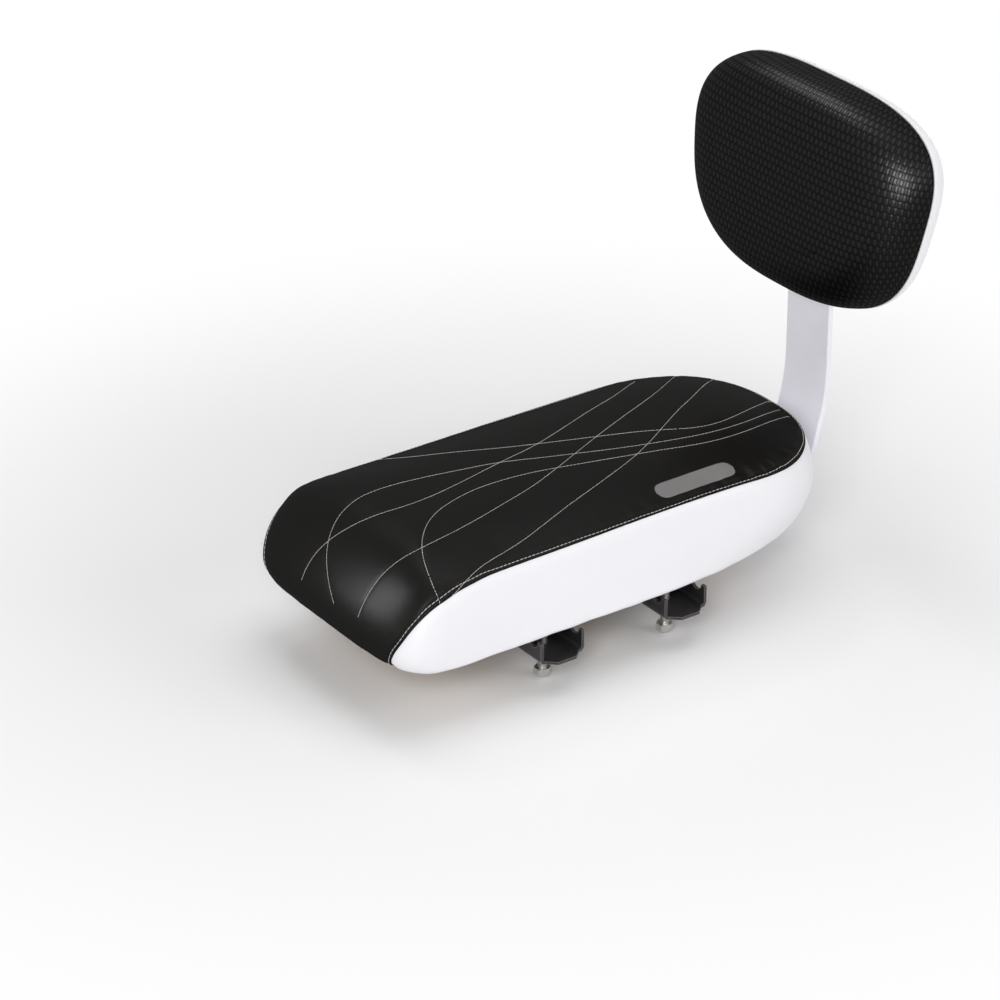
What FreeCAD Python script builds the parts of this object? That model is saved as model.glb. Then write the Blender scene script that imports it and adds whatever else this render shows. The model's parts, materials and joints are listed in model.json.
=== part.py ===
"""Rear rack cushion seat: a padded seat, a padded backrest on a bent flat bar, and two rail clamps.

Millimetres, Z up. The seat's front faces -Y, its left side +X and its backrest stands at +Y.
The origin is the middle of the underside, in the plane that lies on the rack's two rails.
"""
import FreeCAD
import Part
import math
import os
from FreeCAD import Rotation, Vector

# Seat cushion
seat_front = 180.0
seat_rear = 180.0
base_rear = 184.0
base_width = 181.0
seam_width = 165.0
seam_height = 58.0
crown_height = 12.0
crown_run = 55.0
crown_rear_stretch = 1.4
crown_fullness = 2.2
front_round = 58.0
front_tuck = 10.0
front_tuck_height = 18.0
base_front_sweep = 72.0
base_front_fullness = 3.3
upper_front_sweep = 44.0
upper_front_fullness = 5.5
base_rear_sweep = 175.0
seam_rear_sweep = 86.0
rear_fullness = 2.35
wall_bulge = 2.5
hem_round = 3.0

# Seat cover, foam and board
cover = 1.5
hem_width = 19.0
seam_drop = 1.0
seam_sweep = 75.0
seam_fullness = 2.6
seam_front_gap = 5.0
board_thickness = 10.0
soft_clearance = 0.4
badge_length = 62.0
badge_width = 13.0
badge_thickness = 0.7
badge_side_inset = 15.0
badge_y = 63.0
badge_lift = 0.05

# Hem staples
staple_count = 12
staple_crown = 10.0
staple_wire = 1.0
staple_leg = 6.0
staple_inset = 16.5
staple_clearance = 0.1

# Rail clamps
rail_diameter = 10.0
rail_spacing = 158.0
clamp_ys = {"front": -56.0, "rear": 42.0}
clamp_width = 34.0
clamp_sheet = 2.0
clamp_bend = 2.0
clamp_floor_gap = 8.0
clamp_end_margin = 3.5
clamp_tongue = 5.5
clamp_tongue_tip = 14.0

# Clamp bolts and nuts
bolt_spacing = 132.0
bolt_diameter = 6.0
bolt_hole_clearance = 0.5
bolt_head_diameter = 13.0
bolt_head_height = 3.3
bolt_neck = 6.0
bolt_neck_height = 4.0
bolt_reach = 43.0
washer_diameter = 12.0
washer_thickness = 1.6
nut_flats = 10.0
nut_height = 5.0
nut_chamfer = 0.6
thread_clearance = 0.2
end_nut_setback = 2.0

# Bent bar
bar_width = 43.0
bar_thickness = 4.0
leg_front = 72.0
leg_corner = 194.5
leg_bend = 14.0
riser_y = 211.0
riser_foot = 62.0
riser_bend = 140.0
neck_bend = 60.0
bar_top_overlap = 45.0
bar_end_round = 12.0
bar_edge_round = 0.8
leg_screw_front = 86.0
leg_screw_pitch = 30.0
leg_screw_count = 3

# Screws and tee nuts of the bar
screw_head_diameter = 11.0
screw_head_height = 3.2
screw_socket = 4.0
screw_socket_depth = 2.0
tee_flange_diameter = 18.0
tee_flange = 1.6
tee_barrel_diameter = 8.0
tee_barrel = 5.0
pocket_clearance = 0.4
shim_rear_gap = 9.0

# Backrest
rest_y = 213.0
rest_z = 208.0
rest_tilt = 8.0
rest_half_width = 106.5
rest_taper = 0.11
rest_height = 146.0
rest_fullness = 3.1
pad_depth = 37.0
pad_inset = 40.0
rest_hem = 14.0
rest_board = 6.0
shell_depth = 18.0
shell_wall = 2.5
bar_setback = 6.0
block_width = 60.0
block_below = 40.0
slot_clearance = 0.6
rest_screw_pitch = 40.0
rest_screw_low = -10.0

# Shell bosses and screws
boss_diameter = 12.0
boss_half_span = 62.0
boss_half_rise = 30.0
boss_counterbore = 8.6
boss_seat_depth = 6.0
shell_screw_diameter = 4.0
shell_screw_head = 7.6
shell_screw_head_height = 2.6
shell_screw_bite = 4.0

# Values that follow from the sizes above
top_height = seam_height + crown_height
board_bottom = cover
board_top = cover + board_thickness
rail_radius = rail_diameter / 2
floor_top = -rail_diameter - clamp_floor_gap
floor_bottom = floor_top - clamp_sheet
flange_half_length = rail_spacing / 2 + rail_radius + clamp_end_margin
# Heights of the cushion's sections, as shares of its wall and of its crown
hem_share = 0.08
wall_shares = (0.0, hem_share, 0.2, 0.4, 0.7, 1.0)
crown_shares = (0.0, 0.12, 0.3, 0.55, 1.0)

# Reach of cutting tools: past a face, and past the whole part; and a distance that counts as none
over = 1.0
far = 1000.0
near = 0.01


def outline_points(z, half_width, front, rear):
    """Half of the plan outline at a height, from front middle to rear middle, with superelliptic ends."""
    front_sweep, front_fullness = front_shape_at(z)
    rear_sweep = rear_sweep_at(z)
    points = []
    for step in range(10):
        angle = math.radians(10 * step)
        across = half_width * math.sin(angle) ** (2 / front_fullness)
        along = front + front_sweep * (1 - math.cos(angle) ** (2 / front_fullness))
        points.append((across, along))
    for step in range(9, -1, -1):
        angle = math.radians(10 * step)
        across = half_width * math.sin(angle) ** (2 / rear_fullness)
        along = rear - rear_sweep * (1 - math.cos(angle) ** (2 / rear_fullness))
        points.append((across, along))
    return points


def closed_wire(half, place):
    """A closed smooth wire from half an outline and its mirror image; place makes each point in space."""
    edges = []
    for side in (1, -1):
        curve = Part.BSplineCurve()
        points = [place(side * across, along) for across, along in half]
        leaving = place(side, 0) - place(0, 0)
        curve.interpolate(Points=points, InitialTangent=leaving, FinalTangent=leaving * -1)
        edges.append(curve.toShape())
    return Part.Wire(edges)


def level_wire(half, z):
    return closed_wire(half, lambda across, along: Vector(across, along, z))


def bulge_at(share):
    return 4 * wall_bulge * share * (1 - share)


def half_width_at(z):
    share = z / seam_height
    return (base_width + (seam_width - base_width) * share) / 2 + bulge_at(share)


def rear_at(z):
    share = z / seam_height
    return base_rear + (seat_rear - base_rear) * share + bulge_at(share)


def rear_sweep_at(z):
    """The rear end is long and tapered at the foot and rounder from there up."""
    foot = max(0.0, 1 - z / seam_height) ** 3
    return seam_rear_sweep + (base_rear_sweep - seam_rear_sweep) * foot


def front_shape_at(z):
    """Sweep and fullness of the front corners, which are rounder at the foot."""
    foot = max(0.0, 1 - z / front_tuck_height)
    sweep = upper_front_sweep + (base_front_sweep - upper_front_sweep) * foot
    return sweep, upper_front_fullness + (base_front_fullness - upper_front_fullness) * foot


def front_at(z, offset):
    """The waterfall front: an ellipse from the crown down, tucked back under at its foot."""
    rise = min(z / (top_height - offset), 1.0)
    tuck = front_tuck * max(0.0, 1 - z / front_tuck_height) ** 2
    return offset - seat_front + front_round * (1 - math.sqrt(1 - rise ** 2)) + tuck


def cushion(offset):
    """The cushion's outer form, or the same form drawn in by an offset on every side."""
    low = max(offset, 0.0)
    high = seam_height - offset / 2
    walls = []
    for share in wall_shares:
        z = low + share * (high - low)
        edge = hem_round * max(0.0, 1 - share / hem_share) + offset
        half = outline_points(z, half_width_at(z) - edge, front_at(z, offset) + edge - offset,
                              rear_at(z) - edge)
        walls.append(level_wire(half, z))
    crown = []
    for share in crown_shares:
        z = high + (top_height - offset - high) * (1 - (1 - share) ** crown_fullness)
        inset = crown_run * share
        half = outline_points(z, half_width_at(high) - offset - inset, front_at(z, offset),
                              rear_at(high) - offset - crown_rear_stretch * inset)
        crown.append(level_wire(half, z))
    body = Part.makeLoft(walls, True, False)
    return body.fuse(Part.makeLoft(crown, True, False))


def base_prism(inset, z_low, z_high):
    """A straight-sided prism inside the foot of the cushion, between two heights."""
    half = outline_points(z_low, half_width_at(z_high) - inset, front_at(z_low, 0) + inset,
                          rear_at(z_low) - inset)
    return Part.Face(level_wire(half, z_low)).extrude(Vector(0, 0, z_high - z_low))


def rod(diameter, base, direction, length):
    return Part.makeCylinder(diameter / 2, length, base, direction)


def upright(diameter, x, y, z_low, z_high):
    return rod(diameter, Vector(x, y, z_low), Vector(0, 0, 1), z_high - z_low)


def hex_prism(flats, z_low, height):
    """A hexagon about the Z axis with its corners turned back at both ends."""
    corner = flats / math.sqrt(3)
    ring = [Vector(corner * math.cos(math.radians(60 * k)), corner * math.sin(math.radians(60 * k)), z_low)
            for k in range(7)]
    prism = Part.Face(Part.makePolygon(ring)).extrude(Vector(0, 0, height))
    rim = corner - nut_chamfer
    profile = [Vector(0, 0, z_low), Vector(rim, 0, z_low), Vector(corner, 0, z_low + nut_chamfer),
               Vector(corner, 0, z_low + height - nut_chamfer), Vector(rim, 0, z_low + height),
               Vector(0, 0, z_low + height), Vector(0, 0, z_low)]
    turned = Part.Face(Part.makePolygon(profile)).revolve(Vector(0, 0, 0), Vector(0, 0, 1), 360)
    return prism.common(turned)


def dome(diameter, height, base):
    """A low spherical head standing on a flat base."""
    radius = ((diameter / 2) ** 2 + height ** 2) / (2 * height)
    ball = Part.makeSphere(radius, base + Vector(0, 0, height - radius))
    return ball.common(Part.makeCylinder(diameter / 2, height, base))


def bolt_places():
    """Each clamp bolt by its name, with its place across and along the seat."""
    return {f"{end}_{side}": (sign * bolt_spacing / 2, y)
            for end, y in clamp_ys.items() for side, sign in (("left", 1), ("right", -1))}


def leg_screw_places():
    return [leg_screw_front + leg_screw_pitch * k for k in range(leg_screw_count)]


def staple_places():
    """Middle and turn of each staple, spread evenly by angle round the hem."""
    half = outline_points(0, half_width_at(0) - staple_inset, front_at(0, 0) + staple_inset,
                          rear_at(0) - staple_inset)
    rim = level_wire(half, 0)
    places = []
    for edge in rim.Edges:
        share = 2 * edge.Length / staple_count
        for k in range(staple_count // 2):
            at = edge.getParameterByLength((k + 0.5) * share)
            places.append((edge.valueAt(at), edge.tangentAt(at)))
    return places


def staple(middle, along, grow):
    """A wire staple with its bridge under the hem and two legs up into the board."""
    wire = staple_wire + 2 * grow
    bridge = Part.makeBox(staple_crown + 2 * grow, wire, staple_wire + grow,
                          Vector(-staple_crown / 2 - grow, -wire / 2, -staple_wire - grow))
    legs = [Part.makeBox(wire, wire, staple_leg + grow, Vector(x - grow, -wire / 2, 0))
            for x in (-staple_crown / 2, staple_crown / 2 - staple_wire)]
    body = bridge.multiFuse(legs).removeSplitter()
    turn = math.degrees(math.atan2(along.y, along.x))
    body.Placement = FreeCAD.Placement(middle, Rotation(Vector(0, 0, 1), turn))
    return body


def seam_prism():
    """The space below and behind the side seam, right across the seat."""
    height = seam_height - seam_drop
    start = seam_front_gap - seat_front
    rise = []
    for step in range(10):
        angle = math.radians(10 * step)
        along = start + seam_sweep * (1 - max(math.cos(angle), 0.0) ** (2 / seam_fullness))
        rise.append(Vector(-far, along, height * math.sin(angle) ** (2 / seam_fullness)))
    curve = Part.BSplineCurve()
    curve.interpolate(Points=rise, InitialTangent=Vector(0, 0, 1), FinalTangent=Vector(0, 1, 0))
    rest = [rise[-1], Vector(-far, far, height), Vector(-far, far, -far), Vector(-far, start, -far), rise[0]]
    face = Part.Face(Part.Wire([curve.toShape()] + Part.makePolygon(rest).Edges))
    return face.extrude(Vector(2 * far, 0, 0))


def make_seat():
    """The cover's two panels, the foam, the board, the badge and the hem staples."""
    pieces = {}
    staple_rooms = []
    for number, (middle, along) in enumerate(staple_places(), 1):
        staple_rooms.append(staple(middle, along, staple_clearance))
        pieces[f"hem_staple_{number}"] = staple(middle, along, 0.0)
    opening = base_prism(hem_width, 0, 2 * cover).translate(Vector(0, 0, -cover / 2))
    skin = cushion(0.0).cut([cushion(cover), opening] + staple_rooms)
    below = seam_prism()
    pieces["seat_top_cover"] = skin.cut(below)
    pieces["seat_side_cover"] = skin.common(below)
    foam_rooms = [Part.makeBox(2 * far, 2 * far, far, Vector(-far, -far, board_top - far))]
    board_rooms = list(staple_rooms)
    for x, y in bolt_places().values():
        head_room = bolt_head_diameter + 2 * pocket_clearance
        foam_rooms.append(upright(head_room, x, y, 0, board_top + bolt_head_height + pocket_clearance))
        board_rooms.append(upright(bolt_diameter + bolt_hole_clearance, x, y, 0, board_top + over))
        neck = bolt_neck + bolt_hole_clearance
        neck_room = bolt_neck_height + pocket_clearance
        corner = Vector(x - neck / 2, y - neck / 2, board_top - neck_room)
        board_rooms.append(Part.makeBox(neck, neck, 2 * neck_room, corner))
    for y in leg_screw_places():
        flange_room = tee_flange_diameter + 2 * pocket_clearance
        foam_rooms.append(upright(flange_room, 0, y, 0, board_top + tee_flange + pocket_clearance))
        board_rooms.append(upright(tee_barrel_diameter + bolt_hole_clearance, 0, y, 0, board_top + over))
    pieces["seat_foam"] = cushion(cover + soft_clearance).cut(foam_rooms)
    board_inset = cover + soft_clearance + hem_round
    pieces["seat_base_board"] = base_prism(board_inset, board_bottom, board_top).cut(board_rooms)
    pieces["badge_patch"] = make_badge()
    return pieces


def make_badge():
    """A thin bare patch with round ends, lying on the crown beside the left seam."""
    across = seam_width / 2 - badge_side_inset
    reach = (badge_length - badge_width) / 2
    middle = seam_height
    slab = Part.makeBox(badge_width, 2 * reach, middle,
                        Vector(across - badge_width / 2, badge_y - reach, middle))
    ends = [upright(badge_width, across, badge_y + sign * reach, middle, 2 * middle) for sign in (1, -1)]
    column = slab.multiFuse(ends).removeSplitter()
    return cushion(-badge_lift - badge_thickness).common(column).cut(cushion(-badge_lift))


def make_gutter(y):
    """A straight gutter across the seat: a flat floor and two upturned flanges."""
    front = y - clamp_width / 2
    block = Part.makeBox(2 * flange_half_length, clamp_width, -rail_radius - floor_bottom,
                         Vector(-flange_half_length, front, floor_bottom))
    hollow = Part.makeBox(2 * flange_half_length, clamp_width - 2 * clamp_sheet, far,
                          Vector(-flange_half_length, front + clamp_sheet, floor_top))
    return rounded_foot(block, clamp_bend + clamp_sheet).cut(rounded_foot(hollow, clamp_bend))


def rounded_foot(box, radius):
    """A box with its two lower edges along X rounded."""
    low = box.BoundBox.ZMin
    foot = [e for e in box.Edges if abs(e.CenterOfMass.z - low) < near and abs(e.CenterOfMass.x) < near]
    return box.makeFillet(radius, foot)


def make_clamp_plate(y):
    """A pressed gutter strip, its flanges notched to seat the two rails, with a tongue at each end."""
    plate = make_gutter(y)
    root = clamp_width / 2 - clamp_sheet - clamp_bend
    tip = clamp_tongue_tip / 2
    for sign in (1, -1):
        ring = [Vector(sign * flange_half_length, y - root, floor_bottom),
                Vector(sign * (flange_half_length + clamp_tongue), y - tip, floor_bottom),
                Vector(sign * (flange_half_length + clamp_tongue), y + tip, floor_bottom),
                Vector(sign * flange_half_length, y + root, floor_bottom)]
        tongue = Part.Face(Part.makePolygon(ring + ring[:1])).extrude(Vector(0, 0, clamp_sheet))
        plate = plate.fuse(tongue)
    rooms = []
    for sign in (1, -1):
        rooms.append(rod(rail_diameter, Vector(sign * rail_spacing / 2, y - clamp_width, -rail_radius),
                         Vector(0, 1, 0), 2 * clamp_width))
        rooms.append(upright(bolt_diameter + bolt_hole_clearance, sign * bolt_spacing / 2, y,
                             floor_bottom - over, floor_top + over))
    return plate.cut(rooms).removeSplitter()


def make_clamps():
    """Both clamp plates, with a bolt, a washer, a tight nut and an end nut at each bolt place."""
    pieces = {f"{end}_clamp_plate": make_clamp_plate(y) for end, y in clamp_ys.items()}
    bore = bolt_diameter + thread_clearance
    for name, (x, y) in bolt_places().items():
        head = dome(bolt_head_diameter, bolt_head_height, Vector(x, y, board_top))
        neck = Part.makeBox(bolt_neck, bolt_neck, bolt_neck_height,
                            Vector(x - bolt_neck / 2, y - bolt_neck / 2, board_top - bolt_neck_height))
        shank = upright(bolt_diameter, x, y, -bolt_reach, board_top)
        pieces[f"{name}_bolt"] = shank.multiFuse([head, neck]).removeSplitter()
        washer_low = floor_bottom - washer_thickness
        washer = upright(washer_diameter, x, y, washer_low, floor_bottom)
        pieces[f"{name}_washer"] = washer.cut(upright(bore, x, y, washer_low - over, floor_bottom + over))
        lows = {"nut": washer_low - nut_height, "end_nut": end_nut_setback - bolt_reach}
        for kind, low in lows.items():
            nut = hex_prism(nut_flats, low, nut_height).translate(Vector(x, y, 0))
            pieces[f"{name}_{kind}"] = nut.cut(upright(bore, x, y, low - over, low + nut_height + over))
    return pieces


def rounded_path(corners, radii):
    """Straight runs joined by tangent arcs, through corners given in the YZ plane."""
    edges = []
    last = corners[0]
    for before, corner, after, radius in zip(corners, corners[1:], corners[2:], radii):
        arriving = (corner - before).normalize()
        leaving = (after - corner).normalize()
        turn = arriving.getAngle(leaving)
        setback = radius * math.tan(turn / 2)
        start = corner - arriving * setback
        end = corner + leaving * setback
        inward = (leaving - arriving).normalize()
        middle = corner + inward * (radius / math.cos(turn / 2) - radius)
        edges.append(Part.LineSegment(last, start).toShape())
        edges.append(Part.Arc(start, middle, end).toShape())
        last = end
    edges.append(Part.LineSegment(last, corners[-1]).toShape())
    return edges


def shifted_corners(corners, shift):
    """The same bent line moved sideways by a distance, with each corner on its bisector."""
    moved = []
    for k, corner in enumerate(corners):
        arriving = (corner - corners[max(k - 1, 0)]) if k else corners[1] - corner
        leaving = corners[k + 1] - corner if k + 1 < len(corners) else arriving
        arriving.normalize()
        leaving.normalize()
        side = Vector(0, -arriving.z - leaving.z, arriving.y + leaving.y).normalize()
        moved.append(corner + side * (shift / math.cos(arriving.getAngle(leaving) / 2)))
    return moved


def rest_point(across, up, back):
    """A point of the backrest: across, up along its tilt, and back from its parting plane."""
    tilt = math.radians(rest_tilt)
    return Vector(across, rest_y + up * math.sin(tilt) + back * math.cos(tilt),
                  rest_z + up * math.cos(tilt) - back * math.sin(tilt))


def bar_corners():
    """The bent bar's middle line, from the leg's front end to the top inside the backrest."""
    middle = bar_setback + bar_thickness / 2
    top = rest_point(0, bar_top_overlap, middle)
    foot = rest_point(0, -rest_height / 2, middle)
    lean = math.tan(math.radians(rest_tilt))
    neck = Vector(0, riser_y, foot.z + (riser_y - foot.y) / lean)
    return [Vector(0, leg_front, -bar_thickness / 2), Vector(0, leg_corner, -bar_thickness / 2),
            Vector(0, riser_y, riser_foot), neck, top]


def make_bar():
    """The flat bar, bent up behind the seat, with its holes and rounded ends."""
    corners = bar_corners()
    half = bar_thickness / 2
    front_radii = (leg_bend - half, riser_bend + half, neck_bend + half)
    back_radii = (leg_bend + half, riser_bend - half, neck_bend - half)
    front = rounded_path(shifted_corners(corners, half), front_radii)
    back = rounded_path(shifted_corners(corners, -half), back_radii)
    ends = [Part.LineSegment(front[0].Vertexes[0].Point, back[0].Vertexes[0].Point).toShape(),
            Part.LineSegment(front[-1].Vertexes[-1].Point, back[-1].Vertexes[-1].Point).toShape()]
    section = Part.Face(Part.Wire(Part.__sortEdges__(front + back + ends)))
    section.translate(Vector(-bar_width / 2, 0, 0))
    bar = section.extrude(Vector(bar_width, 0, 0))
    tips = [e for e in bar.Edges if abs(e.Length - bar_thickness) < near]
    bar = bar.makeFillet(bar_end_round, tips)
    rims = [e for face in bar.Faces if abs(face.normalAt(0, 0).x) > 1 - near for e in face.Edges]
    bar = bar.makeFillet(bar_edge_round, rims)
    hole = bolt_diameter + bolt_hole_clearance
    for y in leg_screw_places():
        bar = bar.cut(upright(hole, 0, y, -2 * bar_thickness, bar_thickness))
    for up in rest_screw_places():
        bar = bar.cut(rest_rod(hole, 0, up, 0, bar_setback + 2 * bar_thickness))
    return bar


def button_screw(length):
    """A button-head screw along Z, head below its seat at z = 0, with a hexagon socket."""
    head = dome(screw_head_diameter, screw_head_height, Vector(0, 0, 0))
    head.rotate(Vector(0, 0, 0), Vector(1, 0, 0), 180)
    body = head.fuse(Part.makeCylinder(bolt_diameter / 2, length)).removeSplitter()
    return body.cut(hex_prism(screw_socket, -screw_head_height - over, screw_socket_depth + over))


def tee_nut(barrel):
    """A tee nut along Z: a flange standing on z = 0 and a barrel below it."""
    flange = Part.makeCylinder(tee_flange_diameter / 2, tee_flange)
    sleeve = Part.makeCylinder(tee_barrel_diameter / 2, barrel, Vector(0, 0, -barrel))
    bore = Part.makeCylinder((bolt_diameter + thread_clearance) / 2, barrel + tee_flange + 2 * over,
                             Vector(0, 0, -barrel - over))
    return flange.fuse(sleeve).removeSplitter().cut(bore)


def make_bar_fixings():
    """The leg's packing strip, its screws from below and their tee nuts in the seat board."""
    shim_rear = base_rear - hem_width - shim_rear_gap
    shim = Part.makeBox(bar_width, shim_rear - leg_front, board_bottom,
                        Vector(-bar_width / 2, leg_front, 0))
    pieces = {}
    for number, y in enumerate(leg_screw_places(), 1):
        shim = shim.cut(upright(bolt_diameter + bolt_hole_clearance, 0, y, -over, board_bottom + over))
        screw = button_screw(bar_thickness + board_top)
        pieces[f"leg_screw_{number}"] = screw.translate(Vector(0, y, -bar_thickness))
        pieces[f"leg_tee_nut_{number}"] = tee_nut(tee_barrel).translate(Vector(0, y, board_top))
    pieces["leg_packing"] = shim
    return pieces


def rest_outline(inset):
    """Half of the backrest's outline, from its low middle to its top middle: a tapered superellipse."""
    points = []
    rise = rest_height / 2 - inset
    for step in range(-9, 10):
        angle = math.radians(10 * step)
        share = math.copysign(abs(math.sin(angle)) ** (2 / rest_fullness), angle)
        reach = max(math.cos(angle), 0.0) ** (2 / rest_fullness) if abs(step) < 9 else 0.0
        points.append(((rest_half_width - inset) * (1 + rest_taper * share) * reach, rise * share))
    return points


def rest_wire(inset, back):
    return closed_wire(rest_outline(inset), lambda across, up: rest_point(across, up, back))


def rest_loft(depth, run, sense, shrink, starts=()):
    """A pillow from the parting plane to a flat face, as elliptic rounds; sense is 1 back, -1 forward."""
    wires = [rest_wire(shrink, sense * start) for start in starts]
    for angle in (0, 15, 35, 55, 75, 90):
        inset = shrink + run * (1 - math.cos(math.radians(angle)))
        wires.append(rest_wire(inset, sense * depth * math.sin(math.radians(angle))))
    return Part.makeLoft(wires, True, False)


def rest_rod(diameter, across, up, back_from, back_to):
    """A round bar square to the backrest's parting plane."""
    start = rest_point(across, up, back_from)
    return rod(diameter, start, rest_point(across, up, back_to) - start, back_to - back_from)


def rest_slab(half_width, up_low, up_high, back_from, back_to):
    """A block lined up with the backrest."""
    corners = [rest_point(x, up, back_from) for x, up in
               ((-half_width, up_low), (half_width, up_low), (half_width, up_high), (-half_width, up_high))]
    face = Part.Face(Part.makePolygon(corners + corners[:1]))
    return face.extrude(rest_point(0, 0, back_to) - rest_point(0, 0, back_from))


def rest_screw_places():
    return [rest_screw_low, rest_screw_low + rest_screw_pitch]


def boss_places():
    return [(x * boss_half_span, up * boss_half_rise) for x in (1, -1) for up in (1, -1)]


def on_rest(shape, across, up, back):
    """Turn a fastener made along Z so that its +Z points out of the backrest's front, and place it."""
    turn = Rotation(Vector(0, 0, 1), rest_point(0, 0, -1) - rest_point(0, 0, 0))
    shape.Placement = FreeCAD.Placement(rest_point(across, up, back), turn)
    return shape


def make_rest():
    """The backrest's cover, foam, board, block and shell, with the screws that hold them."""
    board_back = -cover
    board_front = -cover - rest_board
    front = rest_loft(pad_depth, pad_inset, -1, 0.0)
    inside = rest_loft(pad_depth - cover, pad_inset, -1, cover)
    inside = inside.common(rest_slab(far, -far, far, -far, board_back))
    opening = Part.Face(rest_wire(rest_hem, over)).extrude(
        rest_point(0, 0, -cover - over) - rest_point(0, 0, over))
    edge = cover + soft_clearance
    rim = edge + pad_inset * (1 - math.sqrt(1 - (board_front / (pad_depth - edge)) ** 2))
    board = Part.Face(rest_wire(rim, board_back)).extrude(
        rest_point(0, 0, board_front) - rest_point(0, 0, board_back))
    foam = rest_loft(pad_depth - edge, pad_inset, -1, edge)
    foam = foam.common(rest_slab(far, -far, far, -far, board_front))
    block = rest_slab(block_width / 2, -block_below, bar_top_overlap, board_back, bar_setback)
    shell = rest_loft(shell_depth, shell_depth, 1, 0.0)
    shell = shell.cut(rest_loft(shell_depth - shell_wall, shell_depth, 1, shell_wall, (-2 * over, -over)))
    gap = slot_clearance
    shell = shell.cut(rest_slab(bar_width / 2 + gap, -far, -rest_height / 2 + rest_hem,
                                bar_setback - gap, bar_setback + bar_thickness + gap))
    pieces = {}
    hole = bolt_diameter + bolt_hole_clearance
    for number, up in enumerate(rest_screw_places(), 1):
        block = block.cut(rest_rod(hole, 0, up, board_back - over, bar_setback + over))
        board = board.cut(rest_rod(tee_barrel_diameter + bolt_hole_clearance, 0, up,
                                   board_front - over, board_back + over))
        flange_room = tee_flange_diameter + 2 * pocket_clearance
        foam = foam.cut(rest_rod(flange_room, 0, up, board_front - tee_flange - pocket_clearance,
                                 board_front + over))
        seat = bar_setback + bar_thickness
        screw = button_screw(seat - board_front)
        pieces[f"rest_screw_{number}"] = on_rest(screw, 0, up, seat)
        pieces[f"rest_tee_nut_{number}"] = on_rest(tee_nut(tee_barrel), 0, up, board_front)
    for number, (x, up) in enumerate(boss_places(), 1):
        boss = rest_rod(boss_diameter, x, up, board_back, shell_depth - shell_wall / 2)
        seat = shell_depth - boss_seat_depth
        shell = shell.fuse(boss)
        shell = shell.cut(rest_rod(boss_counterbore, x, up, seat, shell_depth + over))
        shell = shell.cut(rest_rod(shell_screw_diameter + bolt_hole_clearance, x, up,
                                   board_back - over, seat + over))
        board = board.cut(rest_rod(shell_screw_diameter + thread_clearance, x, up,
                                   board_back - shell_screw_bite, board_back + over))
        shank = Part.makeCylinder(shell_screw_diameter / 2, seat - board_back + shell_screw_bite)
        head = Part.makeCylinder(shell_screw_head / 2, shell_screw_head_height,
                                 Vector(0, 0, -shell_screw_head_height))
        pieces[f"shell_screw_{number}"] = on_rest(shank.fuse(head).removeSplitter(), x, up, seat)
    pieces["rest_cover"] = front.cut(inside).cut(opening)
    pieces["rest_foam"] = foam
    pieces["rest_board"] = board
    pieces["rest_block"] = block
    pieces["rest_shell"] = shell
    return pieces


def main():
    os.makedirs("parts", exist_ok=True)
    pieces = make_seat()
    pieces.update(make_clamps())
    pieces["bent_bar"] = make_bar()
    pieces.update(make_bar_fixings())
    pieces.update(make_rest())
    for name, shape in pieces.items():
        shape.exportStep(f"parts/{name}.step")


main()
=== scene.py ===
"""Rear rack cushion seat: upholstery, stitching, finishes and stage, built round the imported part."""
import json
import math

import bmesh
import bpy
import numpy as np
from mathutils import Matrix, Vector, kdtree, noise
from mathutils.bvhtree import BVHTree

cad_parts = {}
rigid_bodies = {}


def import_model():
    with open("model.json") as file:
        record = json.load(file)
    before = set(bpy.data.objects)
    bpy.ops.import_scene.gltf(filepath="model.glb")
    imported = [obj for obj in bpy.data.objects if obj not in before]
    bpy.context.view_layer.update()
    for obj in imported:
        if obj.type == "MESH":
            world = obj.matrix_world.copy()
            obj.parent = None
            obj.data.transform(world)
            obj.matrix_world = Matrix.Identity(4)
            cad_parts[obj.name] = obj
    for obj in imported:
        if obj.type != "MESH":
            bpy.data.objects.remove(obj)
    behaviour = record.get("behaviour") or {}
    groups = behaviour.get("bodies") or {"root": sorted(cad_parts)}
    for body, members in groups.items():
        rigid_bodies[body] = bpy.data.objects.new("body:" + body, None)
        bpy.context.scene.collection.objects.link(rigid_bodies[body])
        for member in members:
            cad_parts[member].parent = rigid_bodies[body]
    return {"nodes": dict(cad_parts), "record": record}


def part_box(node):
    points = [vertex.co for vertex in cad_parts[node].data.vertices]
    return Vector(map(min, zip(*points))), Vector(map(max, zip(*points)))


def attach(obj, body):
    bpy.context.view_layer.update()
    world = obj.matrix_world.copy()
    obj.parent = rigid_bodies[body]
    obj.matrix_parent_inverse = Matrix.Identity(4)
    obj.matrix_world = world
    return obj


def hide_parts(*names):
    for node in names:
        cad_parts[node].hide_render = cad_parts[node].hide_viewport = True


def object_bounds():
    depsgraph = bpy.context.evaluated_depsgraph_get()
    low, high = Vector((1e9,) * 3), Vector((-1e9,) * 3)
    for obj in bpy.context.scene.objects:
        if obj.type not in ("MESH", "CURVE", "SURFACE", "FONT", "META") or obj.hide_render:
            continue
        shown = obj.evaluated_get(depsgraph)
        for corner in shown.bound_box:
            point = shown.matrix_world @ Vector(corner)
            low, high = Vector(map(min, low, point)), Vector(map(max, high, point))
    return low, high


bl_info = {
    "name": "Rack Cushion Seat",
    "version": (1, 0, 0),
    "blender": (4, 5, 0),
    "location": "3D View > Sidebar > Rack Seat",
    "description": "Upholstery, stitching and finishes of a padded seat for a bicycle's rear rack",
    "category": "Object",
}

for stray in list(bpy.data.objects):
    bpy.data.objects.remove(stray)
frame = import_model()
cad_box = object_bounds()

MM = 0.001
crown_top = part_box("seat_top_cover")[1].z

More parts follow.
